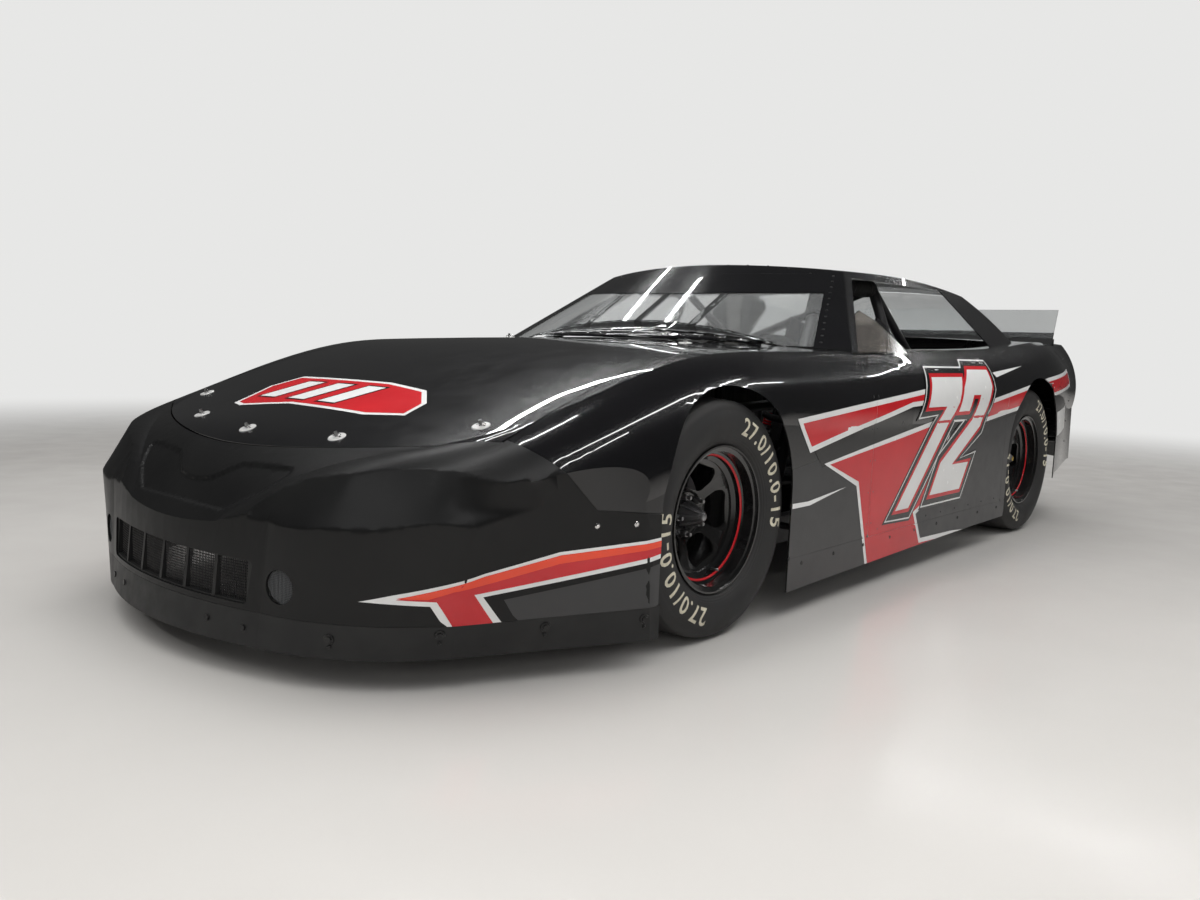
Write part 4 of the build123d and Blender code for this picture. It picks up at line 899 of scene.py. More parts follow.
BLACK_SHADOW = [(-0.44, 0.545), (-1.20, 0.640), (-1.20, 0.545), (-1.126, 0.540), (-0.52, 0.466)]
FRONT_STRIPE = [(-0.336, 0.630), (-0.80, 0.668), (-1.40, 0.716), (-1.55, 0.700), (-1.45, 0.655),
                (-1.186, 0.645), (-0.432, 0.519)]
ARROW = [(-0.531, 0.477), (-1.126, 0.552), (-1.60, 0.610), (-1.50, 0.30), (-1.291, 0.230), (-1.352, 0.128),
         (-1.66, 0.120), (-1.90, 0.104), (-1.90, 0.03), (-0.90, 0.03), (-0.773, 0.384)]
REAR_STRIPE = [(-1.70, 0.612), (-2.005, 0.659), (-2.727, 0.748), (-3.25, 0.792), (-3.30, 0.700),
               (-2.75, 0.650), (-2.498, 0.620), (-1.915, 0.558), (-1.70, 0.535)]
WHITE_DART = [(-0.338, 0.366), (-0.44, 0.364), (-0.70, 0.388), (-0.45, 0.350), (-0.338, 0.350)]
TOP_DART = [(-2.06, 0.772), (-2.441, 0.803), (-2.085, 0.752)]
BLANK_PLATE = [(-2.945, 0.575), (-2.995, 0.450), (-3.26, 0.478), (-3.24, 0.600)]
BORDER = 0.018

STRIPES = (FRONT_STRIPE, ARROW, REAR_STRIPE)
lay("flank_charcoal_film", [from_axle(CHARCOAL_FLANK)], BOTH, SIDE_NODES, CHARCOAL_VINYL)
lay("flank_black_film", [from_axle(BLACK_SHADOW)], BOTH, SIDE_NODES, BLACK_VINYL, layer=1)
lay("flank_white_film", [from_axle(o) for o in (*STRIPES, WHITE_DART, TOP_DART)],
    BOTH, SIDE_NODES, WHITE_VINYL, layer=2)
lay("flank_red_film", [grown(from_axle(o), -BORDER) for o in STRIPES], BOTH, SIDE_NODES, RED_VINYL, layer=3)
lay("blank_number_plate", [from_axle(BLANK_PLATE)], BOTH, SIDE_NODES, WHITE_VINYL, layer=1)
for layer, (name, outline, finish) in enumerate((
        ("nose_charcoal_film", NOSE_CHARCOAL, CHARCOAL_VINYL), ("nose_white_film", NOSE_STRIPE, WHITE_VINYL),
        ("nose_red_film", NOSE_RED, RED_VINYL), ("nose_orange_film", NOSE_ORANGE, ORANGE_VINYL))):
    lay(name, [from_axle(outline)], BOTH, ["nose_cover"], finish, layer=layer)

# Door number, plain slanted digits: outline in a unit box, reading direction and height
DIGIT_SEVEN = [(0.0, 1.0), (1.0, 1.0), (1.0, 0.80), (0.50, 0.0), (0.12, 0.0), (0.60, 0.77), (0.0, 0.77)]
DIGIT_TWO = [(0.0, 0.66), (0.0, 0.86), (0.15, 1.0), (0.85, 1.0), (1.0, 0.86), (1.0, 0.52), (0.43, 0.22),
             (1.0, 0.22), (1.0, 0.0), (0.0, 0.0), (0.0, 0.25), (0.63, 0.58), (0.63, 0.79), (0.37, 0.79),
             (0.37, 0.66)]
NUMBER_LOW = 0.262
NUMBER_HIGH = 0.752
NUMBER_FRONT = -1.062
NUMBER_REAR = -2.085
SECOND_RISE = 0.03
DIGIT_WIDTH = 0.30
DIGIT_PITCH = 0.345
NUMBER_LEAN = 0.34
NUMBER_LAYERS = [
    # how far each layer stands out past the digit, and its film
    (0.050, BLACK_VINYL), (0.042, WHITE_VINYL), (0.036, BLACK_VINYL), (0.015, RED_VINYL), (0.0, WHITE_VINYL),
]


def placed_digit(digit, index, side):
    """A digit in side view; the left side reads towards the tail, the right side towards the nose."""
    way = -1 if side == "left" else 1
    start = (NUMBER_FRONT if side == "left" else NUMBER_REAR) + way * index * DIGIT_PITCH
    result = []
    for u, v in digit:
        station = start + way * (u * DIGIT_WIDTH + v * NUMBER_LEAN)
        result.append((at(station), NUMBER_LOW + v * (NUMBER_HIGH - NUMBER_LOW) + SECOND_RISE * index))
    return result


for number, (border, finish) in enumerate(NUMBER_LAYERS):
    parts = []
    for side in BOTH:
        for index, digit in enumerate((DIGIT_SEVEN, DIGIT_TWO)):
            outline = placed_digit(digit, index, side)
            outline = grown(outline, border) if border else outline
            parts += film_parts(outline, side, SIDE_NODES, FILM + LAYER * (4 + number + 0.2 * index))
    new_piece(f"door_number_layer_{number + 1}", *gather(parts), finish)

# Hood emblem: plain slanted flash, seen from above (station, width)
EMBLEM = [(0.60, -0.42), (0.50, -0.38), (0.500, 0.10), (0.530, 0.30), (0.610, 0.40), (0.700, 0.42),
          (0.735, 0.28), (0.730, -0.10), (0.775, -0.30), (0.760, -0.36)]
BAR_STARTS = (-0.24, -0.08, 0.08)
BAR_WIDTH = 0.085
BAR_LEAN = 0.050
BAR_REAR = 0.545
BAR_FRONT = 0.690


def emblem_bar(y):
    rear, front = y - BAR_WIDTH + BAR_LEAN, y - BAR_WIDTH
    return [(at(BAR_REAR), rear), (at(BAR_REAR), rear + BAR_WIDTH), (at(BAR_FRONT), front + BAR_WIDTH),
            (at(BAR_FRONT), front)]


bars = [emblem_bar(y) for y in BAR_STARTS]
for layer, (name, outlines, finish) in enumerate((
        ("hood_emblem_white", [from_axle(EMBLEM)], WHITE_VINYL),
        ("hood_emblem_red", [grown(from_axle(EMBLEM), -0.014)], RED_VINYL),
        ("hood_emblem_bar_edges", [grown(bar, 0.008) for bar in bars], BLACK_VINYL),
        ("hood_emblem_bars", bars, WHITE_VINYL))):
    lay(name, outlines, ("top",), ["hood"], finish, "hood", layer)

# Windscreen: dark band along the top, painted side borders and foot
BAND_LOW = 1.058
BAND_SAG = 0.012
BAND_HIGH = 1.2
BORDER_LOW = 0.80
BORDER_HIGH = 0.853
SCREEN_HALF = 0.95
SCREEN_CELL = 0.03
SCREEN_SIDE = [(-0.817, 0.780), (-1.322, 1.148), (-1.290, 1.148), (-0.742, 0.780)]
SCREEN_BAND = [(-SCREEN_HALF, BAND_LOW + BAND_SAG), (0, BAND_LOW), (SCREEN_HALF, BAND_LOW + BAND_SAG),
               (SCREEN_HALF, BAND_HIGH), (-SCREEN_HALF, BAND_HIGH)]
SCREEN_LOW_BORDER = [(-SCREEN_HALF, BORDER_LOW), (SCREEN_HALF, BORDER_LOW), (SCREEN_HALF, BORDER_HIGH),
                     (-SCREEN_HALF, BORDER_HIGH)]
lay("windscreen_top_band", [SCREEN_BAND], ("front",), ["windshield"], GLOSS_BLACK, cell=SCREEN_CELL)
lay("windscreen_side_borders", [from_axle(SCREEN_SIDE)], BOTH, ["windshield"], GLOSS_BLACK, layer=1)
lay("windscreen_foot_border", [SCREEN_LOW_BORDER], ("front",), ["windshield"], BLACK_VINYL, layer=2,
    cell=SCREEN_CELL)

# Foot of the windscreen: the sheet carries on down to the cowl, edged in black and riveted
COWL_TOP = 0.8685
SCREEN_SHEET = 0.003
FOOT_HALF = 0.62
FOOT_STEP = 0.02
FOOT_LAP = 0.004
FOOT_FRONT = at(-0.8003)
FOOT_SLOPE = Vector((-0.87, 0, 0.49))


def screen_foot():
    """Across the car: upper edge, lower edge, and the sheet's outward direction."""
    edges = []
    for k in range(round(2 * FOOT_HALF / FOOT_STEP) + 1):
        y = -FOOT_HALF + FOOT_STEP * k
        heights = [0.8575 + 0.004 * j for j in range(30)]
        hits = [strike("windshield", "front", y, z) for z in heights]
        found = [hit for hit in hits if hit and hit[0].x < FOOT_FRONT]
        if not found:
            continue
        low = min(found, key=lambda hit: hit[0].z)
        high = strike("windshield", "front", y, low[0].z + 0.03) or low
        slope = (high[0] - low[0]).normalized() if high is not low else FOOT_SLOPE
        reach = max(0.0, low[0].z - COWL_TOP) / max(slope.z, 0.2)
        edges.append((low[0] + slope * FOOT_LAP, low[0] - slope * reach, low[1]))
    return edges


def foot_strip(name, share_high, outside, inside, finish):
    """A strip on the windscreen's foot, from the cowl up to a share of its height."""
    points, faces = [], []
    for top, bottom, normal in foot:
        for share, depth in ((share_high, outside), (0.0, outside), (0.0, inside), (share_high, inside)):
            points.append(bottom.lerp(top, share) + normal * depth)
    for k in range(len(foot) - 1):
        a, b = 4 * k, 4 * k + 4
        faces += [(a + i, a + (i + 1) % 4, b + (i + 1) % 4, b + i) for i in range(4)]
    faces += [(3, 2, 1, 0), tuple(4 * (len(foot) - 1) + i for i in range(4))]
    faced_outwards(new_piece(name, points, faces, finish))


foot = screen_foot()
foot_strip("windscreen_foot", 1.0, 0.0, -SCREEN_SHEET, CLEAR)
foot_strip("windscreen_foot_edge", 0.30, FILM, 0.0, GLOSS_BLACK)
foot_rivets = raised([(bottom.lerp(top, 0.2), normal) for top, bottom, normal in foot[4:-4:4]], 0.0008)
fasten("windscreen_foot_rivets", foot_rivets, PLATED, radius=0.0045, height=0.002, crown=0.55)

# Rivets and bolts
VALANCE_BOLTS = [(1.043, 0.131), (0.867, 0.147), (0.629, 0.144), (0.380, 0.140)]
VALANCE_FRONT_BOLTS = [(-0.36, 0.124), (-0.235, 0.128), (0.235, 0.128), (0.36, 0.124)]
valance = both_rows("nose_valance", from_axle(VALANCE_BOLTS))
valance += row("nose_valance", "front", VALANCE_FRONT_BOLTS, -0.0035)
screws = [(s + Vector((0, 0, -0.020)), n) for s, n in valance]
fasten("valance_washers", valance, DARK_BOLT, radius=0.0135, height=0.0035, crown=0.9, sides=20)
fasten("valance_bolts", raised(valance, 0.003), DARK_BOLT, radius=0.0085, height=0.004, crown=0.9, sides=6)
fasten("valance_lower_screws", screws, DARK_BOLT, radius=0.005)

nose_rivets = both_rows("nose_cover", from_axle([(0.532, 0.394), (0.421, 0.391), (0.330, 0.388)]))
fasten("nose_rivets", nose_rivets, PLATED, radius=0.0075, height=0.0025, crown=0.55, sides=14)

screen_rivets = both_rows("windshield", spaced((at(-0.850), 0.845), (at(-1.290), 1.140), 13), 0.001)
screen_rivets += row("windshield", "front", spaced((-0.80, 0.846), (0.80, 0.846), 15), 0.0015)
fasten("windscreen_rivets", screen_rivets, DARK_BOLT, radius=0.0055, height=0.0025, crown=0.55)

PANEL_ROWS = [
    # panel, first and last rivet in side view, and how many
    ("front_fenders", (at(-0.868), 0.80), (at(-0.868), 0.24), 6),
    ("door_panels", (at(-0.905), 0.80), (at(-0.905), 0.24), 6),
    ("door_panels", (at(-0.96), 0.212), (at(-2.12), 0.212), 9),
    ("rear_bumper_cover", (-2.105, 0.84), (-2.105, 0.40), 5),
]
panel_rivets = [spot for side in BOTH for node, start, end, count in PANEL_ROWS
                for spot in row(node, side, spaced(start, end, count))]
fasten("panel_rivets", panel_rivets, DARK_BOLT, radius=0.005, height=0.002, crown=0.55)

# Hood pins: round plate, pin and clip
PINS = [(0.861, -0.368), (0.915, 0.0), (0.874, 0.369), (0.677, 0.697), (0.677, -0.697), (-0.50, 0.45),
        (-0.50, -0.45)]
# Radius, height, crown and sides
PLATE_SIZES = (0.024, 0.0022, 0.93, 28)
PIN_SIZES = (0.0052, 0.016, 0.8, 14)
pins = row("hood", "top", from_axle(PINS))
plate_screws = [(s + Vector((0, k * 0.014, 0)), n) for s, n in raised(pins, 0.002) for k in (-1, 1)]
fasten("hood_pin_plates", pins, PIN_PLATE, "hood", *PLATE_SIZES)
fasten("hood_pin_plate_screws", plate_screws, DARK_BOLT, "hood", 0.0028, 0.0016, 0.6, 10)
fasten("hood_pins", pins, STEEL, "hood", *PIN_SIZES)
clips = []
for spot, normal in pins:
    middle = spot + normal * 0.0075
    first, second = across(normal)
    swing = first * cos(0.6) + second * sin(0.6)
    side_way = normal.cross(swing)
    bends = [(-0.020, 0.006), (0.014, 0.007), (0.019, 0.0), (0.014, -0.007), (-0.020, -0.001)]
    clips.append(tube([middle + swing * along + side_way * aside for along, aside in bends], 0.0012, 6))
new_piece("hood_pin_clips", *gather(clips), PLATED, "hood", "steel")

# Grille cloth and the round duct's cloth
GRILLE_HALF = 0.368
GRILLE_LOW = 0.180
GRILLE_TALL = 0.112
GRILLE_COLUMNS = 118
GRILLE_ROWS = 17
DUCT_Y = 0.470
DUCT_Z = 0.240
DUCT_CELL = 0.0042
DUCT_CELLS = 10


def cloth(columns, rows, place):
    """A mesh of crossing edges."""
    points = [place(c, r) for r in range(rows) for c in range(columns)]
    edges = []
    for r in range(rows):
        for c in range(columns):
            if c + 1 < columns:
                edges.append((r * columns + c, r * columns + c + 1))
            if r + 1 < rows:
                edges.append((r * columns + c, (r + 1) * columns + c))
    mesh = bpy.data.meshes.new("cloth")
    mesh.from_pydata(points, edges, [])
    return mesh


def grille_spot(column, line):
    """A crossing of the grille's cloth, just behind the screen's bars."""
    y = -GRILLE_HALF + 2 * GRILLE_HALF * column / (GRILLE_COLUMNS - 1)
    found = strike("grille_screen", "front", y, 0.1765)
    return (found[0].x if found else 2.40) - 0.0155, y, GRILLE_LOW + GRILLE_TALL * line / (GRILLE_ROWS - 1)


grille_cloth = cloth(GRILLE_COLUMNS, GRILLE_ROWS, grille_spot)
grow_tree("grille_cloth", grille_cloth, WIRES, {"Radius": 0.0015, "Sides": 3}, DARK_BOLT,
          smooth=False)


def duct_cloth():
    """Round patches of cloth in both ducts, lying just behind the nose's slope."""
    patches = bmesh.new()
    steps = range(-DUCT_CELLS, DUCT_CELLS + 1)
    for side in (1, -1):
        seen = strike("nose_cover", "front", side * 0.530, DUCT_Z)[0]
        base = strike("nose_cover", "front", side * 0.415, DUCT_Z)[0]
        slope = (seen.x - base.x) / 0.115
        grid = {}
        for u, v in [(u, v) for u in steps for v in steps if hypot(u, v) <= DUCT_CELLS + 0.2]:
            y = DUCT_Y + u * DUCT_CELL
            x = base.x + slope * (y - 0.415) - 0.006
            grid[(u, v)] = patches.verts.new((x, side * y, DUCT_Z + v * DUCT_CELL))
        for (u, v), vert in grid.items():
            for other in ((u + 1, v), (u, v + 1)):
                if other in grid:
                    patches.edges.new((vert, grid[other]))
    mesh = bpy.data.meshes.new("duct_cloth")
    patches.to_mesh(mesh)
    patches.free()
    return mesh


grow_tree("duct_cloth", duct_cloth(), WIRES, {"Radius": 0.0009, "Sides": 3}, CHASSIS_GREY,
          smooth=False)

# Wheels: pinstripe, nuts, valve, hub cap and the plain size numbers on the sidewall
NUT_CIRCLE = 0.0575
VALVE_ANGLE = radians(250)
VALVE_CIRCLE = 0.172
TYRE_SIZE_TEXT = "27.0/10.0-15"
TEXT_ANGLES = (148, 328)
TEXT_LOW = 0.254
TEXT_HEIGHT = 0.050
CAPITAL_HEIGHT = 0.7


def sidewall_text(words, axle_x, middle_angle, side):
    """Words as a flat sheet in side view, bent round the wheel's centre and read from outside."""
    curve = bpy.data.curves.new("sidewall_words", "FONT")
    curve.body = words
    curve.align_x = "CENTER"
    curve.space_character = 1.15
    curve.offset = 0.018
    curve.resolution_u = 3
    carrier = stood("sidewall_words", curve)
    flat = worked_out(carrier)
    bpy.data.objects.remove(carrier)
    sheet = bmesh.new()
    sheet.from_mesh(flat)
    bmesh.ops.remove_doubles(sheet, verts=sheet.verts[:], dist=1e-5)
    for vert in sheet.verts:
        radius = TEXT_LOW + vert.co.y * TEXT_HEIGHT / CAPITAL_HEIGHT
        angle = middle_angle + side * vert.co.x * TEXT_HEIGHT / CAPITAL_HEIGHT / (TEXT_LOW + TEXT_HEIGHT / 2)
        vert.co = Vector((axle_x + radius * cos(angle), WHEEL_Z + radius * sin(angle), 0))
    bmesh.ops.triangulate(sheet, faces=sheet.faces[:])
    return sheet


# Profiles along the axle and out from it; the window is drawn outwards and across
BARREL = [(-0.127, 0.214), (-0.119, 0.214), (-0.116, 0.201), (-0.084, 0.198), (-0.070, 0.172), (0.056, 0.172),
          (0.064, 0.185), (0.078, 0.185), (0.084, 0.198), (0.116, 0.201), (0.119, 0.214), (0.127, 0.214)]
RIM_SHEET = 0.005
DISC = [(0.002, 0.037), (0.008, 0.037), (0.008, 0.064), (0.013, 0.068), (0.052, 0.1715), (0.045, 0.1715),
        (0.007, 0.077), (0.002, 0.066)]
WINDOW = [(0.074, -0.034), (0.112, -0.058), (0.150, -0.058), (0.150, 0.058), (0.112, 0.058), (0.074, 0.034)]
WINDOW_ROUND = 0.022
WINDOW_START = 177
WINDOWS = 5
WINDOW_PITCH = 360 / WINDOWS
PINSTRIPE = [(0.0782, 0.1796), (0.0812, 0.1862), (0.0818, 0.1858), (0.0788, 0.1792)]
HUB_CONE = [(-0.009, 0.046), (-0.009, 0.060), (0.0018, 0.060), (0.0018, 0.0355), (0.010, 0.0355),
            (0.074, 0.013), (0.077, 0.009), (0.077, 0.0)]
CONE_RIB = [(0.009, 0.030), (0.009, 0.0435), (0.013, 0.0435), (0.068, 0.0185), (0.068, 0.008)]
CONE_RIBS = 8
RIB_HALF = 0.0022
HUB_CAP = [(0.0772, 0.0), (0.0772, 0.0085), (0.0765, 0.0100), (0.0742, 0.0122)]


def plain_mesh(name, points, faces):
    """A mesh object with its doubles merged and its faces turned outwards."""
    made = bmesh.new()
    numbered = [made.verts.new(p) for p in points]
    for face in faces:
        made.faces.new([numbered[i] for i in face])
    bmesh.ops.remove_doubles(made, verts=made.verts[:], dist=1e-6)
    bmesh.ops.recalc_face_normals(made, faces=made.faces[:])
    mesh = bpy.data.meshes.new(name)
    made.to_mesh(mesh)
    made.free()
    return stood(name, mesh)


def bake(obj):
    """Turn an object's modifiers into plain mesh."""
    made = worked_out(obj)
    obj.modifiers.clear()
    obj.data = made


def wheel_shell(corner, middle, outward):
    """Steel wheel: rolled barrel and a dished disc with five windows."""
    disc = plain_mesh(corner + "_disc", *turned(DISC, middle, outward, 120, True))
    outline = rounded(WINDOW, WINDOW_ROUND)
    prisms = []
    for k in range(WINDOWS):
        out, aside = spoke(radians(WINDOW_START + WINDOW_PITCH * k))
        ring = [[middle + outward * u + out * r + aside * w for r, w in outline] for u in (-0.03, 0.09)]
        prisms.append(prism(*ring))
    cutter = plain_mesh(corner + "_cutter", *gather(prisms))
    cut = disc.modifiers.new("windows", "BOOLEAN")
    cut.operation, cut.solver, cut.object = "DIFFERENCE", "EXACT", cutter
    bake(disc)
    bpy.data.objects.remove(cutter)
    edge = disc.modifiers.new("edges", "BEVEL")
    edge.width, edge.segments, edge.limit_method, edge.angle_limit = 0.0013, 2, "ANGLE", radians(40)
    bake(disc)
    inner = [(u, r - RIM_SHEET) for u, r in reversed(BARREL)]
    lathe = plain_mesh(corner + "_barrel", *turned(BARREL + inner, middle, outward, 120, True))
    shell = bmesh.new()
    shell.from_mesh(disc.data)
    shell.from_mesh(lathe.data)
    shell.to_mesh(disc.data)
    shell.free()
    bpy.data.objects.remove(lathe)
    disc.name = corner + "_wheel_shell"
    disc.data.materials.clear()
    disc.data.materials.append(WHEEL_BLACK)
    dressed(disc, corner + "_corner", sharp=32)
    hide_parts(corner + "_wheel")


def ribbed_cone(corner, middle, outward):
    """Hub cone with thin ribs standing on it."""
    parts = [turned(HUB_CONE, middle, outward, 48)]
    for k in range(CONE_RIBS):
        out, aside = spoke(tau * k / CONE_RIBS)
        outline = [middle + outward * u + out * r for u, r in CONE_RIB]
        parts.append(prism(*[[spot + aside * w for spot in outline] for w in (-RIB_HALF, RIB_HALF)]))
    made = plain_mesh(corner + "_hub_cone", *gather(parts))
    made.data.materials.append(CAST_METAL)
    dressed(made, corner + "_corner", sharp=32)


for corner, (axle_x, side) in CORNERS.items():
    middle = Vector((axle_x, side * WHEEL_Y, WHEEL_Z))
    outward = Vector((0, side, 0))
    body = corner + "_corner"
    wheel_shell(corner, middle, outward)
    ribbed_cone(corner, middle, outward)
    new_piece(corner + "_wheel_pinstripe", *turned(PINSTRIPE, middle, outward, 96, True), RED_VINYL, body)
    spots = []
    for k in range(WINDOWS):
        out = spoke(radians(WINDOW_START + WINDOW_PITCH * (k + 0.5)))[0]
        spots.append((middle + outward * 0.008 + out * NUT_CIRCLE, outward))
    fasten(corner + "_wheel_nuts", spots, STEEL, body, 0.0115, 0.018, 0.82, 6)
    fasten(corner + "_wheel_studs", raised(spots, 0.018), STEEL, body, 0.006, 0.014, 0.9, 12)
    root = middle + outward * 0.066 + spoke(VALVE_ANGLE)[0] * VALVE_CIRCLE
    stem = [root, root + outward * 0.012, root + outward * 0.026]
    new_piece(corner + "_valve", *tube(stem, [0.0045, 0.0038, 0.0042], 10), STEEL, body, "steel")
    cap_finish = GOLD_CAP if corner.startswith("rear") else STEEL
    new_piece(corner + "_hub_cap", *turned(HUB_CAP, middle, outward, 24), cap_finish, body, "steel")
    parts = []
    for start in TEXT_ANGLES:
        sheet = sidewall_text(TYRE_SIZE_TEXT, axle_x, radians(start if side > 0 else 180 - start), side)
        parts.append(laid_sheet(sheet, BOTH[0 if side > 0 else 1], corner + "_tyre", FILM, 0.012))
    new_piece(corner + "_sidewall_marks", *gather(parts), CREAM_INK, body)

# Springs round the coilovers: foot and head of each damper, on the left side
SPRINGS = [
    ((FRONT_AXLE, 0.610, 0.206), (FRONT_AXLE, 0.439, 0.574)),
    ((REAR_AXLE - 0.085, 0.540, 0.329), (REAR_AXLE - 0.085, 0.476, 0.588)),
]
SPRING_TURNS = 9
TURN_STEPS = 16
SPRING_RADIUS = 0.0385


def spring_line(foot, head):
    """The centre line of a coil, as a mesh of edges."""
    first, second = across(head - foot)
    route = []
    for k in range(SPRING_TURNS * TURN_STEPS + 1):
        share = 0.24 + 0.54 * k / (SPRING_TURNS * TURN_STEPS)
        angle = tau * k / TURN_STEPS
        route.append(foot.lerp(head, share) + (first * cos(angle) + second * sin(angle)) * SPRING_RADIUS)
    mesh = bpy.data.meshes.new("spring_line")
    mesh.from_pydata([tuple(p) for p in route], [(i, i + 1) for i in range(len(route) - 1)], [])
    return mesh


springs = [[Vector((x, side * y, z)) for x, y, z in ends] for side in (1, -1) for ends in SPRINGS]
for number, (foot_end, head_end) in enumerate(springs):
    grow_tree(f"spring_{number + 1}", spring_line(foot_end, head_end), WIRES, {"Radius": 0.0058, "Sides": 8},
              RED_VINYL)

# Driver's place: sewn cushions, belts, bar sleeves, wheel hub, gauges and switches
CUSHIONS = [
    # name, foot and head in the seat's middle plane, facing, half width, thickness, channels and fill
    ("seat_base_cushion", (-0.045, 0.286), (-0.392, 0.247), (-0.11, 0, 1), 0.192, 0.062, 5, 0.6),
    ("seat_back_cushion", (-0.476, 0.385), (-0.494, 0.800), (1, 0, 0.04), 0.192, 0.058, 6, 0.6),
    ("seat_head_cushion", (-0.4965, 0.832), (-0.4965, 0.962), (1, 0, 0), 0.130, 0.046, 2, 0.7),
]
CUSHION_ROWS = 40
CUSHION_COLUMNS = 22


def sewn_cushion(name, foot, head, facing, half, thick, channels, fill):
    """A crowned closed pad from foot to head, drawn in at its sides and sewn across in channels."""
    foot, head = Vector((foot[0], SEAT_Y, foot[1])), Vector((head[0], SEAT_Y, head[1]))
    facing = Vector(facing).normalized()
    side_way = (head - foot).normalized().cross(facing)
    top, bottom = [], []
    for r in range(CUSHION_ROWS + 1):
        s_here = 2 * r / CUSHION_ROWS - 1
        for c in range(CUSHION_COLUMNS + 1):
            t_here = 2 * c / CUSHION_COLUMNS - 1
            pull = 1 - 0.035 * (1 - abs(s_here) ** 3)
            stretch = 1 - 0.03 * (1 - abs(t_here) ** 3)
            edge = max(abs(s_here), abs(t_here))
            crown = (1 - edge ** 7) * (1 - 0.28 * s_here ** 2 - 0.30 * t_here ** 2)
            groove = min(abs((r / CUSHION_ROWS) * channels % 1.0 - k) for k in (0, 1))
            sewn = 1 - 0.34 * max(0.0, 1 - groove / 0.10) * (1 - abs(t_here) ** 6)
            spot = foot.lerp(head, 0.5 + s_here * stretch / 2) + side_way * t_here * half * pull
            top.append(spot + facing * thick * (0.30 + 0.70 * crown * sewn))
            bottom.append(spot)
    size = len(top)
    wide = CUSHION_COLUMNS + 1
    faces = []
    for r in range(CUSHION_ROWS):
        for c in range(CUSHION_COLUMNS):
            a = r * wide + c
            faces.append((a, a + wide, a + wide + 1, a + 1))
            faces.append((size + a, size + a + 1, size + a + wide + 1, size + a + wide))
    for c in range(CUSHION_COLUMNS):
        faces.append((c, c + 1, size + c + 1, size + c))
        a = CUSHION_ROWS * wide + c
        faces.append((a + 1, a, size + a, size + a + 1))
    for r in range(CUSHION_ROWS):
        a = r * wide
        faces.append((a + wide, a, size + a, size + a + wide))
        a = r * wide + CUSHION_COLUMNS
        faces.append((a, a + wide, size + a + wide, size + a))
    pad = faced_outwards(new_piece(name, top + bottom, faces, COVER_CLOTH))


for cushion in CUSHIONS:
    sewn_cushion(*cushion)

# Belts: station, share of the strap's shift from the seat's middle, and height
BELT_WIDTH = 0.050
STRAP_SHIFT = 0.085
SHOULDER = [(-0.470, 0.8, 0.842), (-0.446, 0.8, 0.815), (-0.424, 1, 0.740), (-0.410, 1, 0.600),
            (-0.402, 1, 0.470), (-0.378, 0.8, 0.380), (-0.330, 0.5, 0.338)]
LAP = [(-0.400, 2.18, 0.330), (-0.375, 1.7, 0.340), (-0.350, 1, 0.338), (-0.322, 0.35, 0.336)]
belts = []
for shift in (-STRAP_SHIFT, STRAP_SHIFT):
    for route, width_axis in ((SHOULDER, (0, 1, 0)), (LAP, (0.4, 0, 1))):
        belts.append(strap([(x, SEAT_Y + shift * share, z) for x, share, z in route], width_axis, BELT_WIDTH))
new_piece("belts", *gather(belts), BLACK_WEB, smooth=False)
buckle = [slab((-0.352, SEAT_Y - 0.036, 0.332), (-0.280, SEAT_Y + 0.036, 0.350), 0.006, 3),
          slab((-0.330, SEAT_Y - 0.016, 0.350), (-0.300, SEAT_Y + 0.016, 0.357), 0.003, 2)]
new_piece("belt_buckle", *gather(buckle), PLATED, slot="steel")

SLEEVES = [(Vector(start), Vector(end)) for start, end in (
    ((-0.530, 0.515, 1.1213), (-0.165, 0.492, 1.1111)), ((-0.555, 0.500, 1.122), (-0.555, 0.250, 1.122)),
    ((-0.090, 0.507, 1.088), (0.110, 0.597, 0.961)), ((-0.530, -0.515, 1.1213), (-0.165, -0.492, 1.1111)))]
TIE = [(-0.0025, 0.0352), (-0.0025, 0.0368), (0.0025, 0.0368), (0.0025, 0.0352)]
sleeves, ties = [], []
for start, end in SLEEVES:
    length = (end - start).length
    profile = [(0, 0.0235), (0, 0.0325), (0.004, 0.0355)]
    profile += [(length - 0.004, 0.0355), (length, 0.0325), (length, 0.0235)]
    sleeves.append(turned(profile, start, end - start, 28, True))
    ties += [turned(TIE, start.lerp(end, share), end - start, 28, True) for share in (0.12, 0.5, 0.88)]
sleeve = new_piece("roll_bar_sleeves", *gather(sleeves), FOAM)
new_piece("roll_bar_sleeve_ties", *gather(ties), DARK_BOLT)

WHEEL_HUB = Vector((0.010, SEAT_Y, 0.715))
COLUMN_DIRECTION = Vector((0.465, 0, -0.150)).normalized()
RELEASE = [(-0.030, 0.0), (-0.030, 0.016), (-0.027, 0.020), (-0.012, 0.020), (-0.010, 0.028), (-0.004, 0.030),
           (-0.0005, 0.030)]
HUB_BOLTS = 6
release = turned(RELEASE, WHEEL_HUB, COLUMN_DIRECTION, 36)
new_piece("quick_release_hub", *release, STEEL, "steering_wheel", "steel")
first, second = across(COLUMN_DIRECTION)
hub_bolts = []
for k in range(HUB_BOLTS):
    out = first * cos(tau * k / HUB_BOLTS) + second * sin(tau * k / HUB_BOLTS)
    hub_bolts.append((WHEEL_HUB + out * 0.0365, -COLUMN_DIRECTION))
fasten("steering_wheel_bolts", hub_bolts, PLATED, "steering_wheel", 0.0042, 0.003, 0.85, 10)

# Gauges: place across and up, and radius
DASH_X = 0.155
AWAY = Vector((-1, 0, 0))
GAUGES = [(0.395, 0.745, 0.050), (0.285, 0.730, 0.030), (0.505, 0.730, 0.030), (0.210, 0.730, 0.030),
          (0.580, 0.730, 0.026)]


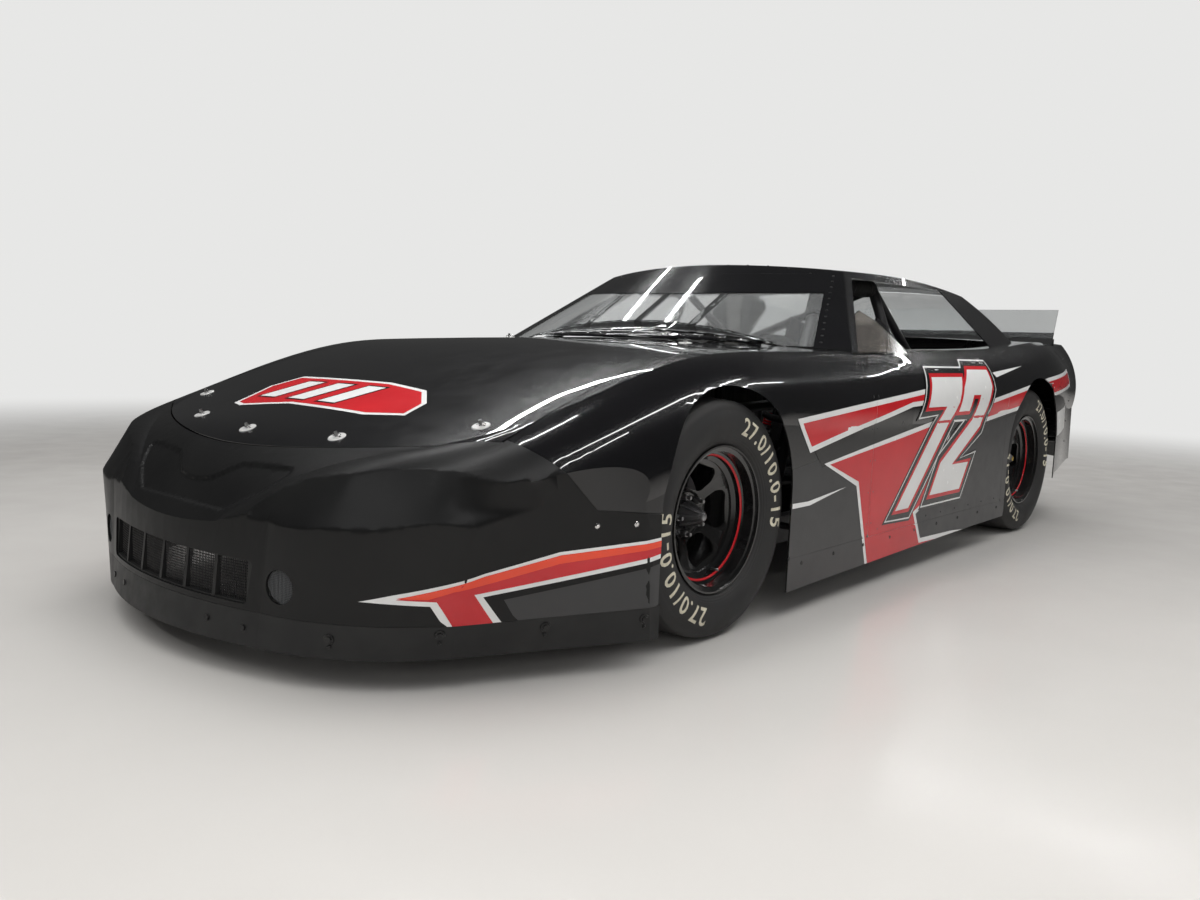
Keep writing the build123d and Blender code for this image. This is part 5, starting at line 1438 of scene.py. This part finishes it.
def dial(angle):
    """On a gauge's face: outwards at an angle, and across."""
    return Vector((0, -cos(angle), sin(angle))), Vector((0, -sin(angle), -cos(angle)))


gauge_faces, rims, needles, ticks = [], [], [], []
for y, z, radius in GAUGES:
    middle = Vector((DASH_X, y, z))
    gauge_faces.append(turned([(0.006, 0), (0.006, radius * 0.9)], middle, AWAY, 40))
    rim = [(0, radius * 0.9), (0, radius), (0.010, radius), (0.012, radius * 0.95), (0.006, radius * 0.9)]
    rims.append(turned(rim, middle, AWAY, 40, True))
    for k in range(11):
        out, aside = dial(radians(225 - 27 * k))
        width = radius * 0.022
        corners = ((0.84, -width), (0.84, width), (0.68, width), (0.68, -width))
        tick = [middle + AWAY * 0.0064 + out * radius * reach + aside * shift for reach, shift in corners]
        ticks.append((tick, [(0, 1, 2, 3)]))
    out, aside = dial(radians(200))
    corners = ((-0.15, -0.05), (-0.15, 0.05), (0.7, 0))
    root = middle + AWAY * 0.008
    needle = [root + out * radius * reach + aside * radius * shift for reach, shift in corners]
    needles.append((needle, [(0, 1, 2)]))
new_piece("gauge_faces", *gather(gauge_faces), GAUGE_FACE, smooth=False)
new_piece("gauge_rims", *gather(rims), PLATED, slot="steel")
new_piece("gauge_ticks", *gather(ticks), BLACK_VINYL, smooth=False)
new_piece("gauge_needles", *gather(needles), RED_VINYL, smooth=False)
switch_panel = slab((DASH_X - 0.003, -0.020, 0.690), (DASH_X, 0.120, 0.770), 0.001, 1)
new_piece("switch_panel", *switch_panel, SHEET_METAL, slot="sheet_aluminium")
switches = [Vector((DASH_X - 0.003, 0.010 + 0.027 * k, 0.735)) for k in range(4)]
fasten("switch_nuts", [(spot, AWAY) for spot in switches], PLATED, "chassis", 0.0065, 0.003, 0.9, 6)
levers = []
for spot in switches:
    lever = [spot, spot + Vector((-0.012, 0, 0.004)), spot + Vector((-0.020, 0, 0.008))]
    levers.append(tube(lever, [0.002, 0.0024, 0.0034], 8))
new_piece("switch_levers", *gather(levers), STEEL, slot="steel")

# Top of the engine: ribbed rocker covers and the round air cleaner
ENGINE_TOP = 0.640
COVER_Y = 0.205
CLEANER_X = 0.860
UP = Vector((0, 0, 1))
PLEATS = 120
CLEANER = [(0, 0.060), (0, 0.165), (0.004, 0.172), (0.012, 0.172), (0.014, 0.160), (0.066, 0.160),
           (0.068, 0.172), (0.078, 0.172), (0.084, 0.164), (0.088, 0.060), (0.088, 0.0)]
covers, cover_bolts = [], []
for side in (1, -1):
    y = side * COVER_Y
    covers.append(slab((0.665, y - 0.062, ENGINE_TOP + 0.0005), (1.125, y + 0.062, ENGINE_TOP + 0.052),
                       0.014, 4))
    for k in range(7):
        x = 0.715 + 0.060 * k
        low, high = (x - 0.004, y - 0.045, ENGINE_TOP + 0.050), (x + 0.004, y + 0.045, ENGINE_TOP + 0.057)
        covers.append(slab(low, high, 0.0025, 2))
    for x in (0.690, 0.895, 1.100):
        cover_bolts += [(Vector((x, y + shift, ENGINE_TOP + 0.046)), UP) for shift in (-0.048, 0.048)]
new_piece("rocker_covers", *gather(covers), CHASSIS_GREY, slot="cast_engine")
cleaner = turned(CLEANER, (CLEANER_X, 0, ENGINE_TOP + 0.008), UP, 64)
new_piece("air_cleaner", *cleaner, BLACK_SHEET, slot="black_sheet")
pleats = []
for k in range(PLEATS):
    angle = tau * k / PLEATS
    radius = 0.1625 if k % 2 else 0.1695
    pleats.append((CLEANER_X + radius * cos(angle), radius * sin(angle)))
points = [(x, y, ENGINE_TOP + z) for z in (0.0225, 0.074) for x, y in pleats]
faces = [(k, (k + 1) % PLEATS, PLEATS + (k + 1) % PLEATS, PLEATS + k) for k in range(PLEATS)]
new_piece("air_cleaner_pleats", points, faces, GAUGE_FACE, smooth=False)
base = turned([(0, 0.075), (0.0075, 0.075)], (CLEANER_X, 0, ENGINE_TOP + 0.0005), UP, 40)
new_piece("air_cleaner_foot", *base, CAST_METAL, slot="cast_engine")
cover_bolts.append((Vector((CLEANER_X, 0, ENGINE_TOP + 0.096)), UP))
fasten("engine_top_bolts", cover_bolts, STEEL, radius=0.007, height=0.010, crown=0.9, sides=6)

# Spoiler, skirt, deck and roof fasteners
blade = row("spoiler_foot", "rear", spaced((-0.72, 0.975), (0.72, 0.975), 15))
fasten("spoiler_bolts", blade, PLATED, radius=0.0065, crown=0.7)
skirt = both_rows("rocker_panels", spaced((at(-0.42), 0.168), (at(-2.16), 0.168), 9))
fasten("skirt_bolts", skirt, DARK_BOLT, radius=0.0075, crown=0.7)
deck_pins = row("deck_lid", "top", [(-2.255, 0.55), (-2.255, -0.55)])
fasten("deck_pin_plates", deck_pins, PIN_PLATE, "deck_lid", *PLATE_SIZES)
fasten("deck_pins", deck_pins, STEEL, "deck_lid", *PIN_SIZES)
roof_rivets = row("roof_panel", "top", spaced((-0.02, 0.60), (-0.02, -0.60), 13))
fasten("roof_rivets", roof_rivets, DARK_BOLT, radius=0.005, height=0.002, crown=0.55)

# Floor: pale and a little glossy, and fading into the backdrop where only the camera looks
BACKDROP = (0.93, 0.93, 0.92)
BACKDROP_LEVEL = 0.86
FLOOR_HALF = 30
FADE_FROM = 4.2
FADE_TO = 10.0
sheet = bpy.data.meshes.new("floor")
edges_out = [(-1, -1), (1, -1), (1, 1), (-1, 1)]
sheet.from_pydata([(x * FLOOR_HALF, y * FLOOR_HALF, 0) for x, y in edges_out], [], [(0, 1, 2, 3)])
floor = stood("floor", sheet)
floor_finish = plain_grain("pale_floor", (0.53, 0.513, 0.490), (0.56, 0.543, 0.520), (0.15, 0.21),
                           tone_scale=0.8, specular=0.35, grain=3.0, depth=0.0004)
sheet.materials.append(floor_finish)
ground = floor_finish.node_tree
reach = wire(ground, "ShaderNodeVectorMath", {0: object_spot(ground)}, operation="LENGTH")
far = wire(ground, "ShaderNodeMapRange", {
    "Value": reach.outputs["Value"], "From Min": FADE_FROM, "From Max": FADE_TO,
}, interpolation_type="SMOOTHSTEP")
direct = wire(ground, "ShaderNodeLightPath")
fade = reckon(ground, "MULTIPLY", far.outputs["Result"], direct.outputs["Is Camera Ray"])
horizon = wire(ground, "ShaderNodeEmission", {"Color": (*BACKDROP, 1), "Strength": BACKDROP_LEVEL})
joined = wire(ground, "ShaderNodeMixShader", {
    0: fade, 1: ground.nodes["Principled BSDF"].outputs["BSDF"], 2: horizon.outputs["Emission"],
})
ground.links.new(joined.outputs["Shader"], ground.nodes["Material Output"].inputs["Surface"])

# Backdrop: bright to the camera, dimmer through the windows, and a faint fill on the car
FILL_LEVEL = 0.05
THROUGH_WINDOWS = 0.45
world = bpy.data.worlds.new("studio")
bpy.context.scene.world = world
world.use_nodes = True
air = world.node_tree
background = air.nodes["Background"]
background.inputs["Color"].default_value = (*BACKDROP, 1)
path = wire(air, "ShaderNodeLightPath").outputs
through = reckon(air, "MULTIPLY", path["Is Transmission Ray"], THROUGH_WINDOWS)
seen = reckon(air, "MAXIMUM", path["Is Camera Ray"], through)
level = wire(air, "ShaderNodeMapRange", {"Value": seen, "To Min": FILL_LEVEL, "To Max": BACKDROP_LEVEL})
air.links.new(level.outputs["Result"], background.inputs["Strength"])

# Lamps: narrow strips that draw the highlights along the body, and two wide soft ones
STRIPS = [
    # place, length and turn about the vertical
    ((2.4, 3.2, 3.1), 4.6, 0.30), ((0.3, 2.2, 3.3), 4.8, 0.12), ((-2.6, 2.6, 3.4), 4.0, 0.0),
    ((2.2, 0.4, 3.3), 3.2, 0.2), ((1.2, -1.9, 3.3), 4.8, -0.1), ((-1.6, -2.6, 3.3), 4.6, 0.1),
    ((5.4, 1.0, 3.0), 3.8, 1.45), ((-5.2, 0.4, 3.2), 3.8, 1.6),
]
STRIP_WIDTH = 0.07
STRIP_POWER = 24
SOFT_LAMPS = [
    # place, turn, length, width and power
    ((-2, -2, 7.5), (0, 0, 0), 24.0, 16.8, 1900),
    ((6.0, 6.0, 2.6), (radians(68), 0, radians(135)), 4.0, 2.8, 110),
]


def hang(name, place, turn, length, width, power):
    lamp = bpy.data.lights.new(name, "AREA")
    lamp.shape = "RECTANGLE"
    lamp.size, lamp.size_y, lamp.energy = length, width, power
    holder = stood(name, lamp)
    holder.location = place
    holder.rotation_euler = turn
    return holder


for number, (place, length, turn) in enumerate(STRIPS):
    hang(f"strip_{number}", place, (0, 0, turn), length, STRIP_WIDTH, STRIP_POWER)
for number, lamp in enumerate(SOFT_LAMPS):
    hang(f"soft_{number}", *lamp).visible_glossy = False

CAMERA_SPOT = Vector((3.553, 2.510, 0.837))
CAMERA_YAW = radians(221.0)
CAMERA_PITCH = radians(6.2)
CAMERA_ROLL = radians(2.02)
lens = bpy.data.cameras.new("camera")
lens.lens = 29.27
lens.sensor_width = 36
camera = stood("camera", lens)
bpy.context.scene.camera = camera
level_reach = cos(CAMERA_PITCH)
looking = Vector((cos(CAMERA_YAW) * level_reach, sin(CAMERA_YAW) * level_reach, -sin(CAMERA_PITCH)))
rightward = looking.cross(Vector((0, 0, 1))).normalized()
upward = rightward.cross(looking)
right = cos(CAMERA_ROLL) * rightward + sin(CAMERA_ROLL) * upward
up = -sin(CAMERA_ROLL) * rightward + cos(CAMERA_ROLL) * upward
camera.matrix_world = Matrix((
    (right.x, up.x, -looking.x, CAMERA_SPOT.x), (right.y, up.y, -looking.y, CAMERA_SPOT.y),
    (right.z, up.z, -looking.z, CAMERA_SPOT.z), (0, 0, 0, 1)))
bpy.context.scene.view_settings.view_transform = "Standard"
